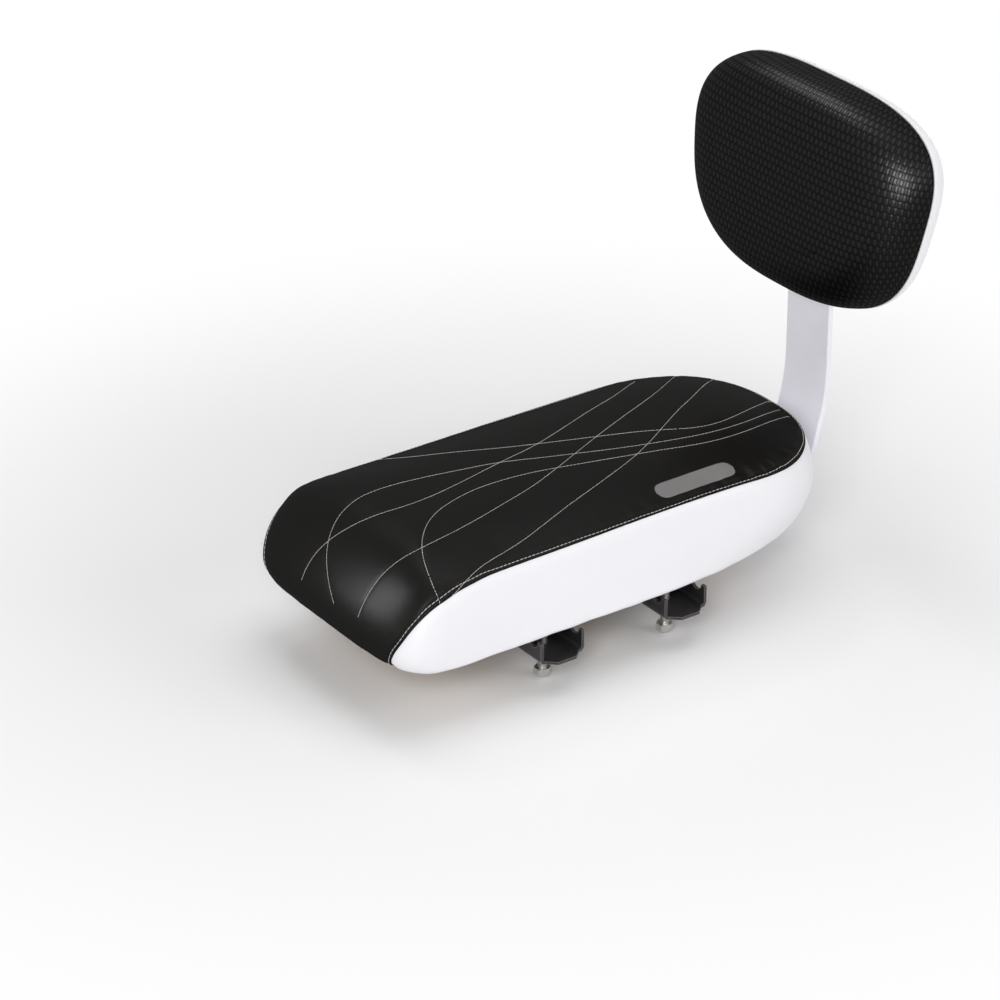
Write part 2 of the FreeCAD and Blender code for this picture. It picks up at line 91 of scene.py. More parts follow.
# Where the side seam runs on the cover: share of the half girth, and level (0 foot, 1 shoulder, 2 crown)
SEAM_KNOTS = (
    (0.136, 0.0), (0.1405, 0.1), (0.1475, 0.237), (0.153, 0.34), (0.158, 0.42), (0.1655, 0.552),
    (0.1754, 0.687), (0.188, 0.789), (0.203, 0.841), (0.2206, 0.892), (0.2456, 0.924), (0.2732, 0.948),
    (0.4, 0.963), (0.57, 0.99), (0.68, 0.986), (0.75, 0.959), (0.81, 0.939), (0.8622, 0.955), (1.0, 0.99))

# The ornamental stitch lines over the top panel, in millimetres
ORNAMENT_LINES = (
    ((-27, -177, 23.5), (-25, -171, 37), (-19, -162, 51), (-10, -150, 61), (1, -120, 69.5), (-4, -78, 70),
     (-15, -31, 70), (-23, 6, 70), (-48, 73, 68.5), (-55, 91, 67), (-72, 121, 60.5)),
    ((36, -176, 25.5), (38, -168, 43), (40, -158, 55), (44, -149, 62), (48, -137, 67), (43, -103, 70),
     (33, -65, 70), (21, -26, 70), (-10, 45, 70), (-31, 97, 69.5), (-43, 121, 67), (-66, 152, 58.5)),
    ((84.5, -138, 50), (83, -126, 57), (77, -110, 60.5), (70, -77, 63.5), (64, -57, 65.5), (53, -25, 68),
     (43, 5, 69), (25, 51, 70), (-5, 104, 70), (-18.5, 129, 68.5), (-46, 167, 58.5)),
    ((10, -177, 23.5), (-11, -168, 42), (-22, -157, 55), (-27, -139, 67), (-28, -100, 70), (-22, -65, 70),
     (-15, -31, 70), (-5, -7, 70), (18, 56, 70), (29, 97, 70), (31, 122, 68.5), (26.5, 149, 65),
     (16, 175, 59)),
    ((84.5, -147, 47.5), (81.5, -148, 52), (69, -145, 60.5), (51, -138, 66), (36.5, -127, 69),
     (24.5, -114, 70), (15.5, -98.5, 70), (9, -78, 70), (6, -56, 70), (7.8, -27, 70), (12.5, -6, 70),
     (27, 50, 70), (38, 90, 69), (40.5, 115, 68), (37, 141, 65.5), (27, 174, 59)),
    ((-82, -80, 58), (-64, -68, 65), (-47, -45, 69), (-32, -19, 70), (-22, 5, 70), (3, 68, 70),
     (22, 104, 70), (21, 130, 68.5), (13.5, 153, 65), (2, 178, 58.5)),
)

# The pad's profile from its rim to its flat front, in millimetres: how far it stands forward, and how far
# it has drawn in at the sides, at the top and at the bottom
PAD_PROFILE = (
    (0, 0, 0, 0), (5, 0.08, 0.05, 0.08), (11, 0.7, 0.4, 0.6), (17, 2.3, 1.2, 2), (22.5, 5.2, 2.6, 4.6),
    (27, 9.4, 5, 8.4), (30.5, 14.9, 8.6, 13.4), (33, 22.1, 13.6, 19.6), (34.2, 30, 19.6, 26.6),
    (34.5, 40, 27, 34))


def length_setting(label, note, default):
    return bpy.props.FloatProperty(name=label, description=note, default=default, unit="LENGTH")


def colour_setting(label, note, default):
    return bpy.props.FloatVectorProperty(
        name=label, description=note, default=default, subtype="COLOR", size=3)


class CushionSettings(bpy.types.PropertyGroup):
    """Sizes of the seat cushion's cover."""
    foot_width: length_setting("Foot width", "Width of the cushion at its hem", 181 * MM)
    shoulder_width: length_setting("Shoulder width", "Width of the cushion at its seam", 165 * MM)
    shoulder_height: length_setting("Shoulder height", "Height of the side seam", 58 * MM)
    crown_height: length_setting("Crown height", "Height of the top of the crown", crown_top)
    front_reach: length_setting("Front reach", "Distance from the middle to the front", 180 * MM)
    wall_bulge: length_setting("Wall bulge", "How far the walls stand out between hem and seam", 2.5 * MM)
    swell: length_setting("Swell", "How far the padding lifts the cover over its cut shape", 2.6 * MM)
    pucker: length_setting("Pucker", "Depth of the gathers beside the seam", 0.75 * MM)


class BackrestSettings(bpy.types.PropertyGroup):
    """Sizes of the backrest's pad."""
    half_width: length_setting("Half width", "Half of the pad's width across its middle", 106.5 * MM)
    height: length_setting("Height", "Height of the pad along its tilt", 146 * MM)
    depth: length_setting("Depth", "How far the pad stands in front of its shell", 37 * MM)
    tilt: bpy.props.FloatProperty(
        name="Tilt", description="Lean of the backrest", default=math.radians(8), subtype="ANGLE")
    weave_across: length_setting("Weave across", "Width of one cell of the embossed weave", 2.2 * MM)
    weave_up: length_setting("Weave up", "Height of one cell of the embossed weave", 4.9 * MM)


class StitchSettings(bpy.types.PropertyGroup):
    """Sizes of the stitching."""
    seam_length: length_setting("Seam stitch", "Length of a stitch beside the seam", 2.75 * MM)
    seam_pitch: length_setting("Seam pitch", "Distance from stitch to stitch beside the seam", 3.1 * MM)
    seam_setback: length_setting("Setback", "Distance of the stitching from the panel's edge", 2.9 * MM)
    side_setback: length_setting(
        "Side setback", "How much further from the edge the stitching is along the sides", 1.5 * MM)
    ornament_length: length_setting("Ornament stitch", "Length of a stitch in the ornament", 2.6 * MM)
    ornament_pitch: length_setting(
        "Ornament pitch", "Distance from stitch to stitch in the ornament", 2.5 * MM)
    thread: length_setting("Thread", "Thickness of the thread", 0.43 * MM)


class FinishSettings(bpy.types.PropertyGroup):
    """Colours of the finishes."""
    top_cover: colour_setting("Top cover", "Colour of the smooth top cover", (0.0062, 0.0057, 0.0053))
    side_cover: colour_setting("Side cover", "Colour of the side band", (0.845, 0.838, 0.868))
    pad_cover: colour_setting("Pad cover", "Colour of the woven-look cover", (0.0028, 0.0027, 0.0025))
    thread: colour_setting("Thread", "Colour of the stitching", (0.72, 0.69, 0.66))
    badge: colour_setting("Badge", "Colour of the bare patch", (0.165, 0.16, 0.158))
    shell: colour_setting("Shell", "Colour of the backrest's shell", (0.84, 0.84, 0.865))
    bar: colour_setting("Bar", "Colour of the bar's paint", (0.89, 0.875, 0.935))
    clamp: colour_setting("Clamp", "Colour of the clamp strips' paint", (0.016, 0.016, 0.018))
    zinc: colour_setting("Zinc", "Colour of the plated bolts, nuts and staples", (0.66, 0.65, 0.63))


class RackSeatSettings(bpy.types.PropertyGroup):
    """All the settings of the seat."""
    cushion: bpy.props.PointerProperty(type=CushionSettings)
    backrest: bpy.props.PointerProperty(type=BackrestSettings)
    stitch: bpy.props.PointerProperty(type=StitchSettings)
    finish: bpy.props.PointerProperty(type=FinishSettings)


def settings():
    return bpy.context.scene.rack_seat


# Shapes

def unit(value):
    """A value held between 0 and 1."""
    return min(max(value, 0.0), 1.0)


def superellipse_ends(half_width, front, rear, front_sweep, front_fullness, rear_sweep, rear_fullness, count):
    """Half of a plan outline from front middle to rear middle, at equal steps along it."""
    angle = np.radians(np.linspace(0, 90, 120))
    sine, cosine = np.sin(angle), np.clip(np.cos(angle), 0, 1)
    nose = np.c_[half_width * sine ** (2 / front_fullness),
                 front + front_sweep * (1 - cosine ** (2 / front_fullness))]
    tail = np.c_[half_width * sine ** (2 / rear_fullness),
                 rear - rear_sweep * (1 - cosine ** (2 / rear_fullness))]
    return evenly(np.vstack([nose, tail[::-1]]), count)


class CoverForm:
    """The cushion's outer form: a point for each share of the half girth and each level.

    Level -1 is the inner edge of the turned hem, 0 the foot, 1 the shoulder and 2 the edge of the flat crown.
    """
    levels = np.r_[np.linspace(-1, 0, 5), np.linspace(0, 0.1, 9)[1:], np.linspace(0.1, 1, 37)[1:],
                   np.linspace(1, 2, 41)[1:]]
    girth_steps = 300
    hem_round, hem_share, hem_turn = 3 * MM, 0.08, 16 * MM
    crown_run, crown_fullness, crown_rear_stretch = 55 * MM, 2.2, 1.4
    front_round, front_tuck, tuck_height = 58 * MM, 8 * MM, 18 * MM
    front_sweep, foot_sweep, front_fullness, foot_fullness = 44 * MM, 18 * MM, 6.3, 1.8
    rear_reach, rear_lean, rear_bulge = 184 * MM, 4 * MM, 1.9
    rear_sweep, low_rear_sweep, rear_fullness = 86 * MM, 89 * MM, 2.35

    def __init__(self, sizes):
        self.sizes = sizes
        self.table = np.array([self.ring(level) for level in self.levels])

    def ring(self, level):
        s = self.sizes
        shoulder = s.shoulder_height
        edge = stretch = 0.0
        if level <= 1:
            z = shoulder * max(level, 0.0)
            turned = min(max(level, 0.0) / self.hem_share, 1.0)
            edge = self.hem_round * (1 - math.sqrt(1 - (1 - turned) ** 2)) + self.hem_turn * max(-level, 0.0)
        else:
            share = level - 1
            z = shoulder + (s.crown_height - shoulder) * (1 - (1 - share) ** self.crown_fullness)
            stretch = self.crown_run * share
        wall = min(z / shoulder, 1.0)
        bulge = 4 * s.wall_bulge * wall * (1 - wall)
        half_width = (s.foot_width + (s.shoulder_width - s.foot_width) * wall) / 2 + bulge - edge - stretch
        rear = self.rear_reach - self.rear_lean * wall + self.rear_bulge * bulge
        rear -= edge + self.crown_rear_stretch * stretch
        rise = min(z / s.crown_height, 1.0)
        foot = max(0.0, 1 - z / self.tuck_height)
        front = self.front_round * (1 - math.sqrt(1 - rise ** 2)) + self.front_tuck * foot ** 2
        front += edge - s.front_reach
        outline = superellipse_ends(
            half_width, front, rear, self.front_sweep + self.foot_sweep * foot,
            self.front_fullness - self.foot_fullness * foot,
            self.rear_sweep + self.low_rear_sweep * (1 - wall) ** 3, self.rear_fullness, self.girth_steps)
        return np.c_[outline, np.full(self.girth_steps, z)]

    def at(self, share, level):
        """The point at a share of the girth from 0 to 2, the right half following the left one."""
        side = 1 if share <= 1 else -1
        across = unit(share if side > 0 else 2 - share) * (self.girth_steps - 1)
        row = min(max(int(np.searchsorted(self.levels, level)) - 1, 0), len(self.levels) - 2)
        mix = (level - self.levels[row]) / (self.levels[row + 1] - self.levels[row])
        column = min(int(across), self.girth_steps - 2)
        slide = across - column
        block = self.table[row:row + 2, column:column + 2]
        low = block[0, 0] * (1 - slide) + block[0, 1] * slide
        high = block[1, 0] * (1 - slide) + block[1, 1] * slide
        point = low * (1 - mix) + high * mix
        return Vector((side * point[0], point[1], point[2]))


def through(points, steps=24):
    """A smooth line through points, as many steps from each to the next."""
    spots = [np.array(p, float) for p in points]
    spots = [2 * spots[0] - spots[1]] + spots + [2 * spots[-1] - spots[-2]]
    line = []
    for a, b, c, d in zip(spots, spots[1:], spots[2:], spots[3:]):
        for t in np.linspace(0, 1, steps, endpoint=False):
            line.append(b + 0.5 * t * (c - a + t * (2 * a - 5 * b + 4 * c - d + t * (3 * (b - c) + d - a))))
    return np.array(line + [spots[-2]])


def evenly(line, count, first=0.0, last=1.0):
    """Points at equal steps along a line, between two shares of its length."""
    run = np.r_[0, np.cumsum(np.linalg.norm(np.diff(line, axis=0), axis=1))]
    wanted = np.linspace(first, last, count) * run[-1]
    return np.stack([np.interp(wanted, run, line[:, k]) for k in range(line.shape[1])], axis=1)


def eased(line, reach=11):
    """The line with its small bends evened out over so many points to each side, and its ends kept."""
    last = len(line) - 1
    spans = [min(reach, k, last - k) for k in range(last + 1)]
    return np.array([line[k - span:k + span + 1].mean(axis=0) for k, span in enumerate(spans)])


def line_length(line):
    return float(np.linalg.norm(np.diff(line, axis=0), axis=1).sum())


def pull_row(bm, row, places, closed, finish):
    """Extrude a row of vertices into a new row at the given places."""
    pairs = zip(row, row[1:] + row[:1]) if closed else zip(row, row[1:])
    made = bmesh.ops.extrude_edge_only(bm, edges=[bm.edges.get(pair) for pair in pairs])["geom"]
    known = set(row)
    fresh = {}
    for item in made:
        if isinstance(item, bmesh.types.BMVert):
            for edge in item.link_edges:
                if edge.other_vert(item) in known:
                    fresh[edge.other_vert(item)] = item
        elif isinstance(item, bmesh.types.BMFace):
            item.material_index = finish
    new_row = [fresh[v] for v in row]
    for vert, place in zip(new_row, places):
        vert.co = place
    return new_row


def start_ring(bm, places):
    ring = bmesh.ops.create_circle(bm, segments=len(places), radius=1)["verts"]
    for vert, place in zip(ring, places):
        vert.co = place
    return ring


def close_ring(bm, ring, end):
    """Fill a ring with a grid between its two ends, each so many vertices to either side of the middle."""
    half = len(ring) // 2
    front = ring[-end:] + ring[:end]
    rear = ring[half - end:half + end]
    edges = [bm.edges.get(pair) for side in (front, rear) for pair in zip(side, side[1:])]
    bmesh.ops.grid_fill(bm, edges=edges, use_smooth=True)


def settle(bm):
    """Merge doubles, drop what has no area and turn the faces outwards."""
    bmesh.ops.remove_doubles(bm, verts=bm.verts, dist=0.02 * MM)
    bmesh.ops.dissolve_degenerate(bm, edges=bm.edges, dist=0.01 * MM)
    bmesh.ops.recalc_face_normals(bm, faces=bm.faces)


def as_object(bm, name, *finishes):
    mesh = bpy.data.meshes.new(name)
    bm.to_mesh(mesh)
    bm.free()
    for finish in finishes:
        mesh.materials.append(finish)
    mesh.polygons.foreach_set("use_smooth", [True] * len(mesh.polygons))
    piece = bpy.data.objects.new(name, mesh)
    bpy.context.scene.collection.objects.link(piece)
    return piece


def vertex_values(mesh, kind="co"):
    """The places of a mesh's vertices, or their normals, one to a row."""
    flat = np.empty(len(mesh.vertices) * 3, np.float32)
    mesh.vertices.foreach_get(kind, flat)
    return flat.reshape(-1, 3).astype(float)


def place_vertices(mesh, places):
    mesh.vertices.foreach_set("co", places.astype(np.float32).ravel())
    mesh.update()


def evaluated_mesh(piece):
    graph = bpy.context.evaluated_depsgraph_get()
    return bpy.data.meshes.new_from_object(piece.evaluated_get(graph), depsgraph=graph)


# How the covers give when they are swollen
CLOTH = {"quality": 6, "mass": 0.3, "tension_stiffness": 1, "compression_stiffness": 1, "shear_stiffness": 1,
         "bending_stiffness": 0.2, "use_pressure": True, "uniform_pressure_force": 4.0}


def inflate(piece, pinned, frames=20):
    """Swell a sewn cover by cloth simulation, held at its pinned vertices, and give the moved points."""
    group = piece.vertex_groups.new(name="held")
    group.add(pinned, 1.0, "REPLACE")
    cloth = piece.modifiers.new("cover_cloth", "CLOTH")
    for key, value in CLOTH.items():
        setattr(cloth.settings, key, value)
    cloth.settings.vertex_group_mass = group.name
    cloth.settings.effector_weights.gravity = 0
    cloth.collision_settings.use_collision = False
    cloth.collision_settings.use_self_collision = False
    cloth.point_cache.frame_start = 1
    cloth.point_cache.frame_end = frames
    scene = bpy.context.scene
    for number in range(1, frames + 1):
        scene.frame_set(number)
    swollen = evaluated_mesh(piece)
    moved = vertex_values(swollen)
    bpy.data.meshes.remove(swollen)
    piece.modifiers.remove(cloth)
    piece.vertex_groups.remove(group)
    scene.frame_set(1)
    return moved


def even_out(mesh, values, rounds):
    """Spread a value at each vertex towards the mean of its neighbours."""
    edges = np.array([e.vertices[:] for e in mesh.edges])
    ends, others = np.r_[edges[:, 0], edges[:, 1]], np.r_[edges[:, 1], edges[:, 0]]
    count = np.bincount(ends, minlength=len(values))
    for _ in range(rounds):
        values = (values + np.bincount(ends, values[others], len(values)) / count) / 2
    return values


def swell(piece, pinned, cap, rounds=4, most=99.5):
    """Inflate a cover outwards, evened out, with nearly all of its swelling within the cap."""
    mesh = piece.data
    rest, normals = vertex_values(mesh), vertex_values(mesh, "normal")
    rise = np.sum((inflate(piece, pinned) - rest) * normals, axis=1)
    rise = even_out(mesh, np.clip(rise, 0, None), rounds)
    rise[pinned] = 0
    rise *= cap / max(np.percentile(rise, most), 1e-9)
    place_vertices(mesh, rest + normals * rise[:, None])


def keep_modifiers(piece):
    """Make what a piece's modifiers give its own mesh."""
    mesh = evaluated_mesh(piece)
    piece.modifiers.clear()
    old = piece.data
    piece.data = mesh
    bpy.data.meshes.remove(old)
    mesh.name = piece.name


def refine(piece, levels=2):
    """Divide a piece's faces smoothly and keep the result."""
    finer = piece.modifiers.new("finer", "SUBSURF")
    finer.levels = finer.render_levels = levels
    finer.boundary_smooth = "PRESERVE_CORNERS"
    keep_modifiers(piece)


def tree_of(points):
    tree = kdtree.KDTree(len(points))
    for number, point in enumerate(points):
        tree.insert(point, number)
    tree.balance()
    return tree


def stitch_seats(surface, line, length, pitch, width, slant=0.0, lift=0.15, flatness=0.42):
    """Where each stitch of a row along a line on a surface lies, as a matrix."""
    count = max(round(line_length(line) / pitch), 1)
    spots = evenly(line, 2 * count + 1)
    shape = Matrix.Diagonal((length / 2, width / 2, width * flatness, 1))
    seats = []
    for k in range(count):
        before, middle, after = (Vector(spots[2 * k + j]) for j in range(3))
        place, normal, _, _ = surface.find_nearest(middle)
        across = normal.cross(after - before).normalized()
        along = (across.cross(normal) + slant * across).normalized()
        turn = Matrix((along, normal.cross(along), normal)).transposed().to_4x4()
        seats.append(Matrix.Translation(place + normal * lift * width) @ turn @ shape)
    return seats


def sew(name, seats, finish):
    """One thread stitch, repeated at every seat."""
    bm = bmesh.new()
    lying = Matrix.Rotation(math.pi / 2, 4, "Y")
    bmesh.ops.create_uvsphere(bm, u_segments=6, v_segments=6, radius=1, matrix=lying)
    piece = as_object(bm, name, finish)
    stitch = np.c_[vertex_values(piece.data), np.ones(len(piece.data.vertices))]
    rows = piece.modifiers.new("rows", "ARRAY")
    rows.use_relative_offset = False
    rows.count = len(seats)
    keep_modifiers(piece)
    placed = np.einsum("kij,vj->kvi", np.array(seats), stitch)[:, :, :3]
    place_vertices(piece.data, placed)
    return piece


def surface_of(piece):
    return BVHTree.FromObject(piece, bpy.context.evaluated_depsgraph_get())


def fit_piece(piece, slot, *replaced):
    """Tie a finished piece to the part's root body, and hide the solids that it stands for. The slot is not
    used.
    """
    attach(piece, "root")
    if replaced:
        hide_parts(*replaced)


# Finishes

def feed(tree, socket, value):
    """Link a socket to an output, or set it to a plain value."""
    if isinstance(value, bpy.types.NodeSocket):
        tree.links.new(value, socket)
    else:
        socket.default_value = value


def add_node(tree, kind, attributes=None, **sockets):
    """Add a shader node, and feed its sockets, each named or numbered as in i2."""
    made = tree.nodes.new(kind)
    for key, value in (attributes or {}).items():
        setattr(made, key, value)
    for key, value in sockets.items():
        numbered = key[0] == "i" and key[1:].isdigit()
        feed(tree, made.inputs[int(key[1:]) if numbered else key.replace("_", " ")], value)
    return made


def maths(tree, operation, *values):
    sockets = {f"i{k}": value for k, value in enumerate(values)}
    return add_node(tree, "ShaderNodeMath", {"operation": operation}, **sockets).outputs[0]


def clouds(tree, vector, scale, **more):
    return add_node(tree, "ShaderNodeTexNoise", Vector=vector, Scale=scale, **more).outputs[0]


def seen_rays(tree):
    """1 for rays that the camera sees straight, mirrored or through something, and 0 for all others."""
    ray = add_node(tree, "ShaderNodeLightPath").outputs
    near = maths(tree, "MAXIMUM", ray["Is Camera Ray"], ray["Is Glossy Ray"])
    return maths(tree, "MAXIMUM", near, ray["Is Transmission Ray"])


def shader_group(outputs, **inputs):
    """Turn a function that wires the inside of a node group into one that gives the group, made once."""
    def made_once(wire):
        def give():
            name = wire.__name__
            if name not in bpy.data.node_groups:
                tree = bpy.data.node_groups.new(name, "ShaderNodeTree")
                add_socket = tree.interface.new_socket
                add_socket("Vector", in_out="INPUT", socket_type="NodeSocketVector")
                for label, value in inputs.items():
                    label = label.replace("_", " ")
                    add_socket(label, in_out="INPUT", socket_type="NodeSocketFloat").default_value = value
                for label in outputs:
                    add_socket(label, in_out="OUTPUT", socket_type="NodeSocketFloat")
                given = tree.nodes.new("NodeGroupInput").outputs
                result = tree.nodes.new("NodeGroupOutput").inputs
                for label, value in zip(outputs, wire(tree, given)):
                    tree.links.new(value, result[label])
            return bpy.data.node_groups[name]
        return give
    return made_once


@shader_group(("Height", "Mottle"), Scale=900.0, Mottle_Scale=30.0)
def leather_grain(tree, given):
    """Pebbled grain of sheet vinyl, with a slow mottle."""
    wander = clouds(tree, given["Vector"], given["Scale"], Detail=2.0)
    pebble = add_node(tree, "ShaderNodeTexVoronoi", {"feature": "DISTANCE_TO_EDGE"}, Vector=given["Vector"],
                      Scale=given["Scale"], Randomness=1.0).outputs[0]
    flattened = maths(tree, "MINIMUM", maths(tree, "MULTIPLY", pebble, 3.0), 1.0)
    height = maths(tree, "MULTIPLY_ADD", wander, 0.35, maths(tree, "POWER", flattened, 0.6))
    return height, clouds(tree, given["Vector"], given["Mottle Scale"], Detail=4.0, Roughness=0.6)


@shader_group(("Height",), Across=450.0, Up=200.0)
def basket_weave(tree, given):
    """Embossed weave: cells in which an upright strand lies on top and sinks under a cross strand in turn."""
    axes = add_node(tree, "ShaderNodeSeparateXYZ", Vector=given["Vector"]).outputs
    scaled = [maths(tree, "MULTIPLY", axes[k], given[size]) for k, size in enumerate(("Across", "Up"))]
    whole = [maths(tree, "FLOOR", value) for value in scaled]
    turn = maths(tree, "FLOORED_MODULO", maths(tree, "ADD", *whole), 2.0)
    hump, ridge = [], []
    for value, floor in zip(scaled, whole):
        part = maths(tree, "SUBTRACT", value, floor)
        centred = maths(tree, "ABSOLUTE", maths(tree, "MULTIPLY_ADD", part, 2.0, -1.0))
        fall = maths(tree, "MULTIPLY", maths(tree, "POWER", centred, 2.0), 0.7)
        hump.append(maths(tree, "SUBTRACT", 1.0, fall))
        ridge.append(maths(tree, "SUBTRACT", 1.0, maths(tree, "POWER", centred, 4.0)))
    upright = maths(tree, "MULTIPLY", hump[0], ridge[1])
    sunk = maths(tree, "MULTIPLY", maths(tree, "MULTIPLY", hump[1], ridge[0]), 0.4)
    return add_node(tree, "ShaderNodeMix", {"data_type": "FLOAT"}, i0=turn, i2=upright, i3=sunk).outputs[:1]


@shader_group(("Mask",), Reach=0.0008, Breaks=160.0)
def edge_wear(tree, given):
    """A mask of rubbed edges, broken up by noise."""
    rounded = add_node(tree, "ShaderNodeBevel", {"samples": 4}, Radius=given["Reach"])
    flat = add_node(tree, "ShaderNodeNewGeometry")
    facing = add_node(tree, "ShaderNodeVectorMath", {"operation": "DOT_PRODUCT"}, i0=rounded.outputs[0],
                      i1=flat.outputs["Normal"])
    turned = maths(tree, "SUBTRACT", 1.0, facing.outputs["Value"])
    breaks = clouds(tree, given["Vector"], given["Breaks"], Detail=4.0)
    rubbed = maths(tree, "MULTIPLY", turned, maths(tree, "MULTIPLY", breaks, 16.0))
    return (maths(tree, "MINIMUM", rubbed, 1.0),)


@shader_group(("Patch", "Speck"), Scale=25.0)
def handling(tree, given):
    """Faint uneven patches and fine specks from handling."""
    patch = clouds(tree, given["Vector"], given["Scale"], Detail=5.0, Roughness=0.62, Distortion=0.4)
    return patch, clouds(tree, given["Vector"], maths(tree, "MULTIPLY", given["Scale"], 28.0), Detail=2.0)


class Finish:
    """A material in the making: its nodes, its own coordinates and what feeds its shader."""

    def __init__(self, name, **sockets):
        self.material = bpy.data.materials.new(name)
        self.material.use_nodes = True
        self.tree = self.material.node_tree
        self.place = self.tree.nodes.new("ShaderNodeTexCoord").outputs["Object"]
        self.feed(**sockets)

    def feed(self, **sockets):
        """Feed the shader's sockets with outputs or plain values."""
        shader = self.tree.nodes["Principled BSDF"]
        for key, value in sockets.items():
            feed(self.tree, shader.inputs[key.replace("_", " ")], value)

    def group(self, group, **sockets):
        """Add a node group, on the material's own coordinates unless others are given."""
        sockets = {"Vector": self.place, **sockets}
        return add_node(self.tree, "ShaderNodeGroup", {"node_tree": group}, **sockets).outputs

    def ranged(self, value, low=0.0, high=1.0):
        """A changing value brought into a range."""
        sockets = {"Value": value, "i1": 0.25, "i2": 0.75, "i3": low, "i4": high}
        return add_node(self.tree, "ShaderNodeMapRange", **sockets).outputs[0]

    def mix(self, share, first, second):
        """A mix of two colours."""
        sockets = {"i0": share, "i6": first, "i7": second}
        return add_node(self.tree, "ShaderNodeMix", {"data_type": "RGBA"}, **sockets).outputs[2]

    def dress(self, tone, colours, rough, relief):
        """Feed the colour by a tone, the roughness by a value and its range, and the relief by a height.

        The relief also gives its strength and its depth. The bump that it makes is given back.
        """
        sockets = dict(zip(("Height", "Strength", "Distance"), relief))
        bump = add_node(self.tree, "ShaderNodeBump", **sockets).outputs[0]
        self.feed(Base_Color=self.mix(tone, *colours), Normal=bump)
        if rough:
            self.feed(Roughness=self.ranged(*rough))
        return bump

    def rub_edges(self, breaks, share, bare):
        """Let a bare colour through at the rubbed edges, and give their mask."""
        mask = self.group(edge_wear(), Reach=0.7 * MM, Breaks=breaks)["Mask"]
        paint = self.tree.nodes["Principled BSDF"].inputs["Base Color"].links[0].from_socket
        self.feed(Base_Color=self.mix(maths(self.tree, "MULTIPLY", mask, share), paint, bare))
        return mask


def shades(name, low, high):
    """A darker and a lighter shade of a colour in the settings."""
    colour = getattr(settings().finish, name)
    return [(*(min(c * factor, 1.0) for c in colour), 1.0) for factor in (low, high)]


def handled(name, colours, scale, rough, relief, rough_by="Patch", **sockets):
    """A finish with the marks of handling."""
    finish = Finish(name, **sockets)
    marks = finish.group(handling(), Scale=scale)
    finish.dress(finish.ranged(marks["Patch"]), colours, (marks[rough_by], *rough), (marks["Speck"], *relief))
    return finish


def sheet_vinyl(name, colours, mottle, rough, relief, **sockets):
    """A finish of sheet vinyl with its grain, and the grain's bump."""
    finish = Finish(name, **sockets)
    grain = finish.group(leather_grain(), Scale=1050.0, Mottle_Scale=mottle)
    bump = finish.dress(finish.ranged(grain["Mottle"]), colours, (grain["Mottle"], *rough),
                        (grain["Height"], *relief))
    return finish, bump


def top_cover_finish():
    finish, bump = sheet_vinyl("smooth_black_vinyl", shades("top_cover", 0.86, 1.16), 24.0, (0.42, 0.35),
                               (0.22, 0.12 * MM), Specular_IOR_Level=0.0, Coat_Weight=0.068, Coat_IOR=2.0,
                               Coat_Roughness=0.34)
    finish.feed(Coat_Normal=bump)
    return finish.material


def side_cover_finish():
    finish, _ = sheet_vinyl("white_vinyl", shades("side_cover", 0.975, 1.01), 16.0, (0.50, 0.42),
                            (0.2, 0.12 * MM), IOR=1.5, Specular_IOR_Level=0.45)
    return finish.material


def pad_cover_finish():
    finish = Finish("woven_black_vinyl", Specular_IOR_Level=0.0, Coat_IOR=2.0, Coat_Roughness=0.36)
    sizes = settings().backrest
    flat = add_node(finish.tree, "ShaderNodeUVMap", {"uv_map": "weave"}).outputs[0]
    cells = {"Vector": flat, "Across": 1 / sizes.weave_across, "Up": 1 / sizes.weave_up}
    weave = finish.group(basket_weave(), **cells)["Height"]
    grain = finish.group(leather_grain(), Scale=2200.0, Mottle_Scale=30.0)
    height = maths(finish.tree, "MULTIPLY_ADD", grain["Height"], 0.06, weave)
    # The base colour follows the weave's height: darker in the sunk cells and lighter on the raised strands.
    # This is painted shade in the weave's hollows.
    bump = finish.dress(weave, shades("pad_cover", 0.5, 1.35), (grain["Mottle"], 0.36, 0.29),
                        (height, 0.8, 0.3 * MM))
    finish.feed(Coat_Weight=maths(finish.tree, "MULTIPLY_ADD", weave, 0.1, 0.035), Coat_Normal=bump)
    return finish.material


def thread_finish():
    finish = Finish("white_thread", Sheen_Weight=0.25, Roughness=0.62)
    ply = add_node(finish.tree, "ShaderNodeTexWave", {"wave_type": "BANDS", "bands_direction": "DIAGONAL"},
                   Vector=finish.place, Scale=900.0, Distortion=0.6).outputs["Fac"]
    # The colour follows the ply bands that also give the relief: darker in the low grooves between the plies.
    # This is painted shade in the thread's grooves.
    finish.dress(ply, shades("thread", 0.72, 1.12), None, (ply, 0.5, 0.1 * MM))
    return finish.material


def badge_finish():
    return handled("grey_rubber_print", shades("badge", 0.93, 1.07), 60.0, (0.50, 0.62), (0.25, 0.08 * MM),
                   "Speck", IOR=1.45, Specular_IOR_Level=0.35).material


def shell_finish():
    return handled("white_moulded_plastic", shades("shell", 0.965, 1.01), 22.0, (0.30, 0.38),
                   (0.08, 0.06 * MM), IOR=1.48, Coat_Weight=0.15).material


def bar_finish():
    finish = handled("white_bar_paint", shades("bar", 0.96, 1.02), 30.0, (0.34, 0.44), (0.12, 0.08 * MM),
                     IOR=1.5, Coat_Weight=0.2)
    finish.rub_edges(210.0, 0.25, (0.42, 0.41, 0.42, 1))
    return finish.material


def clamp_finish():
    finish = handled("black_strip_paint", shades("clamp", 0.8, 1.35), 45.0, (0.28, 0.42), (0.2, 0.1 * MM),
                     IOR=1.5, Specular_IOR_Level=0.5)
    bare = finish.rub_edges(170.0, 0.45, (0.50, 0.50, 0.49, 1))
    finish.feed(Metallic=maths(finish.tree, "MULTIPLY", bare, 0.4))
    return finish.material


